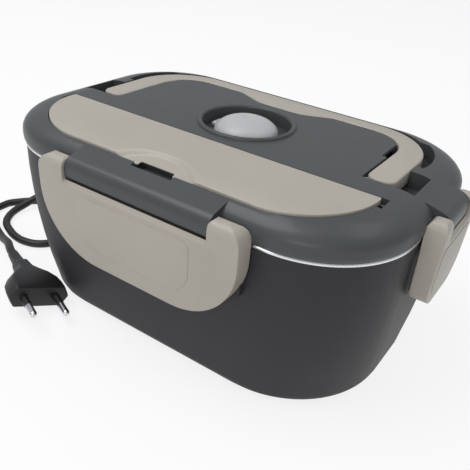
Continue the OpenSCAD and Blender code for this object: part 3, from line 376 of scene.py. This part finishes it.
slotOf = {s["node"]: s["material_slot"] for s in frame["record"]["subparts"]}
for name, node in nodes.items():
    node.data.materials.clear()
    node.data.materials.append(finishes[slotOf[name]])


# mains lead: one cord from the connector's relief by the coil to the plug

lead = {"diameter": 5.2, "coilAt": (-70, 124), "coilRadius": 34, "turns": 2.75, "pitch": 5.8, "layer": 5.7,
        "steps": 24, "plugFace": (-67.5, -87.2), "plugYaw": -22, "plugRoll": -17, "plugLength": 36,
        "plugHeight": 10.5, "reliefLength": 14, "resolution": 5, "bevelSteps": 4,
        "near": [(-156, 3, 14), (-162.5, -1, 11), (-167, -6.5, 7.6), (-169.5, -14.5, 4.6), (-169.5, -24, 3),
                 (-166, -32, 2.6), (-160, -38.5, 2.6), (-151, -43, 2.6), (-141, -46, 2.6), (-131, -46, 2.6),
                 (-122, -42, 2.6), (-116, -33, 2.6), (-113, -21, 2.6), (-112, -6, 2.6), (-112, 8, 2.6),
                 (-112, 22, 2.6), (-112, 38, 2.6), (-112, 54, 2.6), (-111.5, 70, 2.6), (-109.5, 84, 2.6),
                 (-107, 98, 2.6), (-105, 110, 2.6)],
        "far": [(-88, 90, 8.3), (-100, 89.5, 8.3), (-112, 88, 8.3), (-123, 84.5, 7.5), (-132, 78, 5.6),
                (-139, 69, 3.8), (-144, 58, 2.8), (-147, 45, 2.6), (-150, 31, 2.6), (-155, 18, 2.6),
                (-162, 7, 2.6), (-170, -2, 2.6), (-177.5, -11, 2.6), (-182.5, -20, 2.6), (-182.5, -30, 2.6),
                (-177, -37.5, 2.6), (-168, -43, 2.6), (-158, -48, 2.6), (-148, -52.5, 3.6),
                (-138.5, -56.5, 6), (-129.5, -60.3, 8.8)]}


def plugAt(d):
    yaw = math.radians(lead["plugYaw"])
    x, y = lead["plugFace"]
    return (x + d * math.cos(yaw), y + d * math.sin(yaw), lead["plugHeight"])


def coilPoint(t):
    turns, r0 = lead["turns"], lead["coilRadius"]
    r = r0 - lead["pitch"] * min(t, turns - t)
    a = math.radians(180 - 360 * t)
    rise = ease(2 * (t - turns / 2) + 0.5)
    x, y = lead["coilAt"]
    return (x + r * math.cos(a), y + r * math.sin(a), lead["diameter"] / 2 + lead["layer"] * rise)


def leadRoute():
    reliefLow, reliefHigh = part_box("connector_relief")
    exitX = (reliefLow.x - middle.x) / mm
    exitY = ((reliefLow.y + reliefHigh.y) / 2 - middle.y) / mm
    exitZ = (reliefLow.z + reliefHigh.z) / 2 / mm
    d = lead["diameter"]
    near = [(exitX, exitY, exitZ), (exitX - d, exitY, exitZ)] + lead["near"]
    first = coilPoint(0)
    last = coilPoint(lead["turns"])
    count = round(lead["turns"] * lead["steps"])
    coil = [(first[0], first[1] - d, first[2])]
    coil += [coilPoint(i / lead["steps"]) for i in range(count + 1)]
    coil += [(last[0] - d, last[1], last[2])]
    rear = -lead["plugLength"] - lead["reliefLength"]
    return [Vector(p) * mm + middle for p in near + coil + lead["far"] + [plugAt(rear - d), plugAt(rear)]]


def makeLead():
    route = leadRoute()
    data = bpy.data.curves.new("mainsLead", "CURVE")
    data.dimensions = "3D"
    data.resolution_u = lead["resolution"]
    data.bevel_depth = lead["diameter"] / 2 * mm
    data.bevel_resolution = lead["bevelSteps"]
    spline = data.splines.new("BEZIER")
    spline.bezier_points.add(len(route) - 1)
    for point, place in zip(spline.bezier_points, route):
        point.co = place
        point.handle_left_type = point.handle_right_type = "AUTO"
    bpy.context.view_layer.update()
    # the smooth curve's handles are held back to the solid's reach
    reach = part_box("cord_far")[0].x + data.bevel_depth
    for point in spline.bezier_points:
        left, right = point.handle_left.copy(), point.handle_right.copy()
        point.handle_left_type = point.handle_right_type = "FREE"
        point.handle_left = (max(left.x, reach), left.y, left.z)
        point.handle_right = (max(right.x, reach), right.y, right.z)
    piece = bpy.data.objects.new("mainsLead", data)
    bpy.context.scene.collection.objects.link(piece)
    data.materials.append(finishes["cord_black"])
    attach(piece, "cord_set")
    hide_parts("cord_near", "cord_coil", "cord_far")
    return piece, route


mainsLead, route = makeLead()


# plug: a flat two-pin body that widens from its rear to a six-sided face

plug = {"sections": [(0, 5.2, 5.0), (4, 5.5, 5.4), (9, 6.2, 5.9), (13, 9.2, 6.3), (18, 13.6, 6.7),
                     (24, 16.6, 6.8), (30, 17.5, 6.8), (36, 17.4, 6.5)],
        "neck": 12, "neckCorner": 0.45, "neckSide": 0.4, "bodyCorner": 0.55, "edge": 0.9, "edgeFrom": 25,
        "pinGap": 18.6, "pinRadius": 2.0, "sleeve": 9.0, "sleeveThick": 0.25, "sleeveTip": 0.1}


def layPlug(bm):
    turn = (Matrix.Rotation(math.radians(lead["plugYaw"]), 4, "Z")
            @ Matrix.Rotation(math.radians(lead["plugRoll"]), 4, "X"))
    place = Matrix.Translation(Vector(plugAt(-lead["plugLength"])) * mm)
    bmesh.ops.transform(bm, matrix=place @ turn, verts=bm.verts)


def makePlug():
    bm = bmesh.new()
    rings = []
    for along, w, t in plug["sections"]:
        neck = along <= plug["neck"]
        corner = w - (w * plug["neckCorner"] if neck else t * plug["bodyCorner"])
        side = t * plug["neckSide"] if neck else 0
        outline = [(w, side), (corner, t), (-corner, t), (-w, 0), (-corner, -t), (corner, -t)]
        ring = [bm.verts.new((along * mm, y * mm, z * mm)) for y, z in outline]
        rings.append([bm.edges.new(pair) for pair in zip(ring, ring[1:] + ring[:1])])
    for ring, following in zip(rings, rings[1:]):
        bmesh.ops.bridge_loops(bm, edges=ring + following)
    bmesh.ops.holes_fill(bm, edges=rings[0] + rings[-1], sides=6)
    bmesh.ops.recalc_face_normals(bm, faces=bm.faces)
    sharp = [e for e in bm.edges if len(e.link_faces) == 2
             and e.calc_face_angle(0) > math.radians(plug["edgeFrom"])]
    roundEdges(bm, sharp, plug["edge"] * mm, segments=3)
    layPlug(bm)
    return addPiece("plugBody", bm, "cord_set", "cord_black", smooth=30, replaced=("plug_body",))


def makeSleeves():
    bm = bmesh.new()
    for side in (-1, 1):
        move = Matrix.Translation(((lead["plugLength"] + plug["sleeve"] / 2) * mm,
                                   side * plug["pinGap"] / 2 * mm, 0)) @ Matrix.Rotation(math.pi / 2, 4, "Y")
        bmesh.ops.create_cone(bm, cap_ends=True, segments=32, depth=plug["sleeve"] * mm, matrix=move,
                              radius1=(plug["pinRadius"] + plug["sleeveThick"]) * mm,
                              radius2=(plug["pinRadius"] + plug["sleeveTip"]) * mm)
    layPlug(bm)
    return addPiece("pinSleeves", bm, "cord_set", "cord_black")


plugBody = makePlug()
pinSleeves = makeSleeves()
plugRelief = smoothCopy("plug_relief", "cord_black")
plugPins = smoothCopy("plug_pins", "plated_steel")
connector = smoothCopy("cord_connector", "cord_black")
connectorRelief = smoothCopy("connector_relief", "cord_black")


def pathLength(points):
    return sum((b - a).length for a, b in zip(points, points[1:]))


pathLength(route)
print("lead laid:", round(pathLength(route), 3), "m")


# housing, container, lid and inner parts keep the CAD's own forms

for node in ("outer_housing", "inner_liner", "steel_container", "lid_shell", "lid_inner_panel", "lid_gasket",
             "rubber_feet", "power_inlet", "inlet_pins", "indicator_lamp", "latch_pins", "handle_pins",
             "cover_pins", "base_cover", "base_screws", "bracket_screws", "thermostat", "thermal_fuse",
             "lead_wires", "heating_plate"):
    smoothCopy(node, slotOf[node])
print("shells dressed")


# cutlery cover: a thin plate that follows the lid's shoulder, with a finger scoop at its front

cover = {"half": 95, "front": -68.5, "back": (coverHigh.y - middle.y) / mm, "corner": 39, "backCorner": 3.5,
         "backRound": 2.2, "thickness": 2.6, "proud": 0.8, "edge": 0.9, "edgeFrom": 50, "barrel": 3.2,
         "scoopHalf": 23.5, "scoopBack": -57, "scoopDepth": 2.1, "scoopRound": 0.8, "scoopRun": 3.2,
         "lipEdge": 0.25, "lipFrom": 0.05, "notchHalf": 10.2, "notchDeep": 2.6, "notchRound": 0.9,
         "shoulder": 20, "shoulderHeight": 10, "swell": 0.8, "rimCorner": 49, "edgeEnd": 3.6,
         "rows": [0.7 * i for i in range(1, 21)] + [17, 21, 26, 32, 38],
         "backRows": (1, 0.8, 0.6, 0.42, 0.27, 0.15, 0.06),
         "columns": ([1.3 * i for i in range(1, 21)]
                     + [30, 34, 40, 50, 59, 66, 72, 78, 83, 86, 88.5, 90.5, 92, 93.4, 94.4])}


# height of the lid's outer surface at a point, in millimetres
def lidSurface(x, y):
    coreX = halfLength / mm - cover["rimCorner"]
    coreY = halfWidth / mm - cover["rimCorner"]
    out = math.hypot(max(0, abs(x) - coreX), max(0, abs(y) - coreY))
    start = cover["rimCorner"] + cover["swell"] - cover["shoulder"]
    t = clamp((out - start) / cover["shoulder"])
    drop = cover["shoulderHeight"] * (1 - math.sqrt(1 - t * t))
    return lidTop / mm - drop


# depth of the finger scoop at a point
def scoopDrop(x, y):
    chord, deep = cover["scoopHalf"], cover["scoopBack"] - cover["front"]
    radius = (chord * chord + deep * deep) / (2 * deep)
    centre = cover["scoopBack"] - radius
    out = math.hypot(x, y - centre)
    return cover["scoopDepth"] * ease((radius - out + cover["scoopRound"]) / cover["scoopRun"])


def makeCover():
    bm = bmesh.new()
    half, front, back = cover["half"], cover["front"], cover["back"]
    notch, deep = cover["notchHalf"], front + cover["notchDeep"]
    right = [(notch, deep), (notch, front), (half, front), (half, back)]
    left = [(-x, y) for x, y in reversed(right)]
    faceFrom(bm, [Vector((x, y, 0)) for x, y in right + left])
    roundCorners(bm, [v for v in bm.verts if v.co.y < front + same and abs(v.co.x) > half - same],
                 cover["corner"], segments=14)
    roundCorners(bm, [v for v in bm.verts if abs(abs(v.co.x) - notch) < same and v.co.y < deep + same],
                 cover["notchRound"], segments=3)
    roundCorners(bm, [v for v in bm.verts if abs(v.co.x) > half - same and v.co.y > back - same],
                 cover["backCorner"], segments=6)
    backRound = cover["backRound"]
    cutAcross(bm, 1, [front + d for d in cover["rows"]] + [back - backRound * k for k in cover["backRows"]])
    cutAcross(bm, 0, [0] + cover["columns"] + [-x for x in cover["columns"]])
    bmesh.ops.remove_doubles(bm, verts=bm.verts, dist=0.02)
    under = set(extrudeFaces(bm, bm.faces[:]))
    for v in bm.verts:
        drop = cover["thickness"] if v in under else scoopDrop(v.co.x, v.co.y)
        v.co.z = lidSurface(v.co.x, v.co.y) + cover["proud"] - drop
        t = clamp((v.co.y - back) / backRound + 1)
        if v not in under:
            v.co.z -= backRound * (1 - math.sqrt(1 - t * t))
    bmesh.ops.recalc_face_normals(bm, faces=bm.faces)
    rim = [e for e in bm.edges if len(e.link_faces) == 2 and e.calc_face_angle(0) > math.radians(cover["edgeFrom"])
           and (e.verts[0] in under) == (e.verts[1] in under)
           and min(v.co.y for v in e.verts) < back - cover["edgeEnd"]]
    thin = [e for e in rim if max(scoopDrop(v.co.x, v.co.y) for v in e.verts) > cover["lipFrom"]]
    wide = [e for e in rim if e not in set(thin)]
    roundEdges(bm, wide, cover["edge"], segments=3)
    roundEdges(bm, [e for e in thin if e.is_valid], cover["lipEdge"], segments=2)
    bmesh.ops.scale(bm, vec=(mm, mm, mm), verts=bm.verts)
    # hinge barrel along the back
    barrel = cover["barrel"] * mm
    axis = Vector((0, coverHigh.y - barrel - middle.y, coverHigh.z - barrel))
    move = Matrix.Translation(axis) @ Matrix.Rotation(math.pi / 2, 4, "Y")
    bmesh.ops.create_cone(bm, cap_ends=True, segments=40, radius1=barrel, radius2=barrel,
                          depth=2 * (half - cover["backCorner"]) * mm, matrix=move)
    return addPiece("cutleryCover", bm, "cutlery_cover", "taupe_plastic", smooth=40, replaced=("cutlery_cover",))


makeCover()


# carry handle: one bar bent round the vent, thicker at the grip

handle = {"half": 93, "back": 62.2, "front": -9, "corner": 36, "arm": 14.5, "bar": 10.2, "grip": 8.5,
          "gripHalf": 14, "gripRamp": 17, "thickness": 8, "edge": 1.1, "edgeFrom": 1.0,
          "endRound": 5.5, "gripRound": 9}


def makeHandle():
    h = handle
    inner, innerBack = h["half"] - h["arm"], h["back"] - h["bar"]
    ramp = h["gripHalf"] + h["gripRamp"]
    right = [(inner, h["front"]), (h["half"], h["front"]), (h["half"], h["back"])]
    left = [(-x, y) for x, y in reversed(right)]
    bump = [(-ramp, innerBack), (-h["gripHalf"], innerBack - h["grip"]), (h["gripHalf"], innerBack - h["grip"]),
            (ramp, innerBack)]
    outline = right + left + [(-inner, innerBack)] + bump + [(inner, innerBack)]
    bm = bmesh.new()
    faceFrom(bm, [Vector((x, y, lidTop / mm)) for x, y in outline])

    def at(x, y):
        return [v for v in bm.verts if abs(abs(v.co.x) - x) < same and abs(v.co.y - y) < same]

    roundCorners(bm, at(h["half"], h["back"]), h["corner"], segments=16)
    roundCorners(bm, at(inner, innerBack), h["corner"] - h["arm"], segments=12)
    roundCorners(bm, at(ramp, innerBack), h["gripRound"], segments=8)
    roundCorners(bm, at(h["gripHalf"], innerBack - h["grip"]), h["gripRound"], segments=8)
    roundCorners(bm, at(h["half"], h["front"]) + at(inner, h["front"]), h["endRound"], segments=6)
    for v in extrudeFaces(bm, bm.faces[:]):
        v.co.z -= h["thickness"]
    bmesh.ops.recalc_face_normals(bm, faces=bm.faces)
    rim = [e for e in bm.edges if e.calc_face_angle(0) > h["edgeFrom"]
           and abs(e.verts[0].co.z - e.verts[1].co.z) < same]
    roundEdges(bm, rim, h["edge"], segments=3)
    bmesh.ops.scale(bm, vec=(mm, mm, mm), verts=bm.verts)
    return addPiece("carryHandle", bm, "carry_handle", "taupe_plastic", smooth=35, replaced=("handle",))


makeHandle()


# vent: a domed silicone plug with a dimple on top and a tab to lift it by

# dimple: distance from the axis and depth below the top; foot: distance in from the edge and height
vent = {"radius": 18, "height": 10, "dimple": [(0, 1.0), (1.6, 0.8), (3.2, 0.25)], "domeAngles": (15, 90, 5),
        "foot": [(0, 1.2), (0.4, 0.3), (1.2, 0)], "stem": 4, "steps": 72,
        "tab": 8, "tabOut": 3.0, "tabIn": 2.5, "tabLift": 1.4, "tabThick": 2.6, "tabEdge": 1.0}


def makeVent():
    low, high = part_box("vent_plug")
    y = (low.y + high.y) / 2 - middle.y
    floor = low.z + vent["stem"] * mm
    r, h = vent["radius"], vent["height"]
    foot = vent["foot"][0][1]
    profile = [(out, h - down) for out, down in vent["dimple"]]
    profile += [(r * math.sin(math.radians(a)), foot + (h - foot) * math.cos(math.radians(a)))
                for a in range(*vent["domeAngles"])]
    profile += [(r - inset, up) for inset, up in vent["foot"]] + [(0, 0)]
    bm = bmesh.new()
    points = [bm.verts.new((x * mm, 0, z * mm)) for x, z in profile]
    line = [bm.edges.new(pair) for pair in zip(points, points[1:])]
    bmesh.ops.spin(bm, geom=points + line, cent=(0, 0, 0), axis=(0, 0, 1), angle=2 * math.pi, steps=vent["steps"],
                   use_merge=True)
    bmesh.ops.remove_doubles(bm, verts=bm.verts, dist=1e-6)
    tab = bmesh.ops.create_cube(bm, size=1, matrix=Matrix.Translation(
        ((-r - vent["tabOut"] / 2 + vent["tabIn"]) * mm, 0, vent["tabLift"] * mm)) @ Matrix.Diagonal(
        ((vent["tabOut"] + 2 * vent["tabIn"]) * mm, vent["tab"] * mm, vent["tabThick"] * mm, 1)))
    roundEdges(bm, [e for e in bm.edges if e.verts[0] in tab["verts"]], vent["tabEdge"] * mm, segments=3)
    bmesh.ops.translate(bm, vec=(0, y, floor), verts=bm.verts)
    return addPiece("ventPlug", bm, "vent", "silicone", smooth=50, replaced=("vent_plug",))


makeVent()


# latches: two arms round a ledge over a broad face with a smile-shaped lower edge

latch = {"gap": 0.4, "depth": 9.8, "edge": 1.5, "edgeFrom": 0.9, "edgeBelow": 0.5, "barDrop": 0.9,
         "barSlope": 2.0, "barRound": 1.2, "barRise": 3, "stepAt": (1.7, 2.0), "stepDown": 3.6, "pivotOut": 6,
         "jawRound": 2.2,
         "head": 4.9, "headPower": 2.3, "headRows": (0, 0.2, 0.38, 0.54, 0.68, 0.79, 0.88, 0.95),
         "wall": 2.4, "hollowDown": 2.5, "lean": 1.5, "panelEdge": 0.5, "panelShoulder": 3.5, "panelInto": 1,
         "noseOut": 2.75, "noseZ": 75.5, "noseTip": 0.8, "noseRoot": (3, 1.6), "noseDeep": 2, "noseIn": 6.5}
latchSides = {
    "front_latch": {"turn": 0, "out": halfWidth, "shift": 0, "ledge": 43, "horn": 16.5, "low": 49, "corner": 36,
                    "shoulder": 8, "panelHalf": 34.5, "panelTop": 86.8, "panelLow": 58, "panelCorner": 13,
                    "panelProud": 0.35},
    "right_latch": {"turn": 90, "out": halfLength, "shift": 4.5, "ledge": 14.6, "horn": 9, "low": 54,
                    "corner": 15, "shoulder": 5, "panelHalf": 20, "panelTop": 87.6, "panelLow": 59,
                    "panelCorner": 11, "panelProud": 0.5}}


# moves a form made at the front's middle, in millimetres, out to its side of the box
def layOnSide(bm, side):
    turn = Matrix.Rotation(math.radians(side["turn"]), 3, "Z")
    bmesh.ops.translate(bm, vec=(side["shift"], -side["out"] / mm, 0), verts=bm.verts)
    bmesh.ops.rotate(bm, cent=(0, 0, 0), matrix=turn, verts=bm.verts)
    bmesh.ops.scale(bm, vec=(mm, mm, mm), verts=bm.verts)


# a prism along X from a profile of (y, z) points
def addPrism(bm, profile, half):
    end = faceFrom(bm, [(-half, y, z) for y, z in profile])
    for v in extrudeFaces(bm, [end]):
        v.co.x = half


def makePanel(bm, side, face):
    half, top, low = side["panelHalf"], side["panelTop"], side["panelLow"]
    known = set(bm.verts)
    proud = side["panelProud"]
    faceFrom(bm, [Vector(p) for p in ((-half, face - proud, low), (half, face - proud, low),
                                      (half, face - proud, top), (-half, face - proud, top))])
    fresh = [v for v in bm.verts if v not in known]
    roundCorners(bm, [v for v in fresh if v.co.z < top - same], side["panelCorner"], segments=10)
    fresh = [v for v in bm.verts if v not in known and v.co.z > top - same]
    roundCorners(bm, fresh, latch["panelShoulder"], segments=5)
    plate = [f for f in bm.faces if all(v not in known for v in f.verts)]
    for v in extrudeFaces(bm, plate):
        v.co.y += proud + latch["panelInto"]
    rim = [e for e in bm.edges if e.verts[0] not in known and all(v.co.y < face - proud + same for v in e.verts)]
    roundEdges(bm, rim, min(latch["panelEdge"], proud), segments=3)


def makeLatch(side):
    gap = side["ledge"] + latch["gap"]
    half = gap + side["horn"]
    pivot = pivotZ / mm
    top = pivot + latch["head"]
    bar = flangeTop / mm - latch["barDrop"]
    low = side["low"]
    face = side["panelProud"] - latch["pivotOut"] - latch["head"]
    back = face + latch["depth"]
    right = [(gap, bar), (gap, top), (half, top), (half, low)]
    left = [(-x, z) for x, z in reversed(right)]
    bm = bmesh.new()
    faceFrom(bm, [Vector((x, face, z)) for x, z in right + left])

    def at(x, z):
        return [v for v in bm.verts if abs(abs(v.co.x) - x) < same and abs(v.co.z - z) < same]

    roundCorners(bm, at(half, low), side["corner"], segments=16)
    roundCorners(bm, at(half, top), side["shoulder"], segments=8)
    roundCorners(bm, at(gap, top), latch["jawRound"], segments=4)
    roundCorners(bm, at(gap, bar), latch["barRound"], segments=3)
    for v in extrudeFaces(bm, bm.faces[:]):
        v.co.y = back
    # the bar's top falls towards the front, and steps down at the back, clear of the ledge
    crest = latch["stepAt"][0]
    cutAcross(bm, 1, [face + out for out in latch["stepAt"]])
    for v in bm.verts:
        if bar - same < v.co.z < bar + latch["barRise"] and abs(v.co.x) < gap + same:
            share = 1 - max(0, v.co.z - bar) / latch["barRise"]
            if v.co.y < face + crest + same:
                v.co.z -= latch["barSlope"] * share * (1 - (v.co.y - face) / crest)
            else:
                v.co.z -= latch["stepDown"] * share
    bmesh.ops.recalc_face_normals(bm, faces=bm.faces)
    # hollow behind the face
    hollowTop = bar - latch["barSlope"] - latch["hollowDown"]
    cutAcross(bm, 2, [hollowTop])
    hollow = [f for f in bm.faces if f.normal.y > 0.9 and f.calc_center_median().z < hollowTop]
    bmesh.ops.inset_region(bm, faces=hollow, thickness=latch["wall"], depth=0, use_even_offset=True)
    hollowFloor = extrudeFaces(bm, hollow)
    bmesh.ops.delete(bm, geom=hollow, context="FACES_ONLY")
    for v in hollowFloor:
        v.co.y = face + latch["wall"]
    bmesh.ops.recalc_face_normals(bm, faces=bm.faces)
    outer = [e for e in bm.edges if len(e.link_faces) == 2 and e.calc_face_angle(0) > latch["edgeFrom"]
             and max(v.co.y for v in e.verts) < face + same
             and min(v.co.z for v in e.verts) < top - latch["edgeBelow"]]
    roundEdges(bm, outer, latch["edge"], segments=4)
    # the heads are round about the pivots
    cutAcross(bm, 2, [pivot + latch["head"] * k for k in latch["headRows"]])
    for v in bm.verts:
        if v.co.z > pivot:
            rise = min(1, (v.co.z - pivot) / latch["head"])
            reach = (1 - rise ** latch["headPower"]) ** (1 / latch["headPower"])
            v.co.y = -latch["pivotOut"] + (v.co.y + latch["pivotOut"]) * reach
    bmesh.ops.remove_doubles(bm, verts=bm.verts, dist=0.002)
    makePanel(bm, side, face)
    for v in bm.verts:
        down = clamp((bar - v.co.z) / (bar - low))
        v.co.y += latch["lean"] * down * (back - v.co.y) / latch["depth"]
    # nose that goes under the catch
    out, z, tip, root = latch["noseOut"], latch["noseZ"], latch["noseTip"], latch["noseRoot"]
    deep = face + latch["noseDeep"]
    addPrism(bm, [(-out, z + tip), (-out, z - tip), (deep, z - root[0]), (deep, z + root[1])],
             half - latch["noseIn"])
    return bm


# the catch's broad boss on the housing, behind the end latch
catch = {"half": 29, "out": 0.8, "into": 9, "low": 63, "high": 88, "corner": 7, "edge": 0.8}


def makeCatch(side):
    bm = bmesh.new()
    half, out, low, high = catch["half"], -catch["out"], catch["low"], catch["high"]
    faceFrom(bm, [Vector((x, out, z)) for x, z in ((-half, low), (half, low), (half, high), (-half, high))])
    roundCorners(bm, bm.verts[:], catch["corner"], segments=8)
    front = set(bm.verts)
    for v in extrudeFaces(bm, bm.faces[:]):
        v.co.y = catch["into"]
    bmesh.ops.recalc_face_normals(bm, faces=bm.faces)
    roundEdges(bm, [e for e in bm.edges if all(v in front for v in e.verts)], catch["edge"], segments=3)
    layOnSide(bm, side)
    return addPiece("endCatch", bm, "housing", "housing_plastic", smooth=35)


makeCatch(latchSides["right_latch"])
for node, side in latchSides.items():
    bm = makeLatch(side)
    layOnSide(bm, side)
    addPiece(node.split("_")[0] + "Latch", bm, node, "taupe_plastic", smooth=35, replaced=(node,))
print("lid pieces modelled")


# studio: pale floor, soft lamps

studio = {"floorHalf": 6, "floorDown": 0.0001, "floorGrey": 0.86, "seenWhite": 0.82,
          "ambient": (0.93, 0.95, 1.0, 1), "ambientStrength": 0.55, "aim": (0, 0, 0.06),
          "lamps": {"keyLamp": {"place": (-0.45, -0.3, 1.2), "size": (0.8, 0.8), "power": 8.2},
                    "fillLamp": {"place": (0.35, -1.1, 0.55), "size": (0.6, 0.5), "power": 2.6},
                    "backLamp": {"place": (0.5, 0.5, 1.3), "size": (1.0, 0.4), "power": 2.4}}}


def softLamp(name, place, size, power):
    data = bpy.data.lights.new(name, "AREA")
    data.shape = "RECTANGLE"
    data.size, data.size_y = size
    data.energy = power
    lamp = bpy.data.objects.new(name, data)
    lamp.location = place
    lamp.rotation_euler = (Vector(place) - Vector(studio["aim"])).to_track_quat("Z", "Y").to_euler()
    bpy.context.scene.collection.objects.link(lamp)


def seenRay(f):
    path = {k: f.add("ShaderNodeLightPath", output=k)
            for k in ("Is Camera Ray", "Is Glossy Ray", "Is Transmission Ray")}
    total = path["Is Camera Ray"] + path["Is Glossy Ray"] + path["Is Transmission Ray"]
    return f.add("ShaderNodeClamp", None, {"Value": total})


def makeStudio():
    bm = bmesh.new()
    bmesh.ops.create_grid(bm, x_segments=1, y_segments=1, size=studio["floorHalf"])
    mesh = bpy.data.meshes.new("floor")
    bm.to_mesh(mesh)
    bm.free()
    floor = bpy.data.objects.new("floor", mesh)
    bpy.context.scene.collection.objects.link(floor)
    floor.location.z = -studio["floorDown"]
    f = Finish("paleFloor")
    grey = studio["floorGrey"]
    matt = f.add("ShaderNodeBsdfDiffuse", None, {"Color": (grey, grey, grey, 1)})
    white = f.add("ShaderNodeEmission", None, {"Color": (1, 1, 1, 1), "Strength": 1.0})
    mixed = f.add("ShaderNodeMixShader", None, {0: studio["seenWhite"] * seenRay(f), 1: matt, 2: white})
    f.add("ShaderNodeOutputMaterial", None, {"Surface": mixed})
    mesh.materials.append(f.material)
    # the camera sees white; everything else is lit by a dimmer, slightly cool sky
    world = bpy.data.worlds.new("studio")
    bpy.context.scene.world = world
    world.use_nodes = True
    tree = world.node_tree
    ambient = tree.nodes["Background"]
    ambient.inputs["Color"].default_value = studio["ambient"]
    ambient.inputs["Strength"].default_value = studio["ambientStrength"]
    bright = tree.nodes.new("ShaderNodeBackground")
    bright.inputs["Color"].default_value = (1, 1, 1, 1)
    bright.inputs["Strength"].default_value = 1.0
    ray = tree.nodes.new("ShaderNodeLightPath")
    mix = tree.nodes.new("ShaderNodeMixShader")
    tree.links.new(ray.outputs["Is Camera Ray"], mix.inputs[0])
    tree.links.new(ambient.outputs[0], mix.inputs[1])
    tree.links.new(bright.outputs[0], mix.inputs[2])
    tree.links.new(mix.outputs[0], tree.nodes["World Output"].inputs["Surface"])
    for name, values in studio["lamps"].items():
        softLamp(name, **values)


makeStudio()
bpy.context.scene.view_settings.view_transform = "Standard"
print("studio ready")
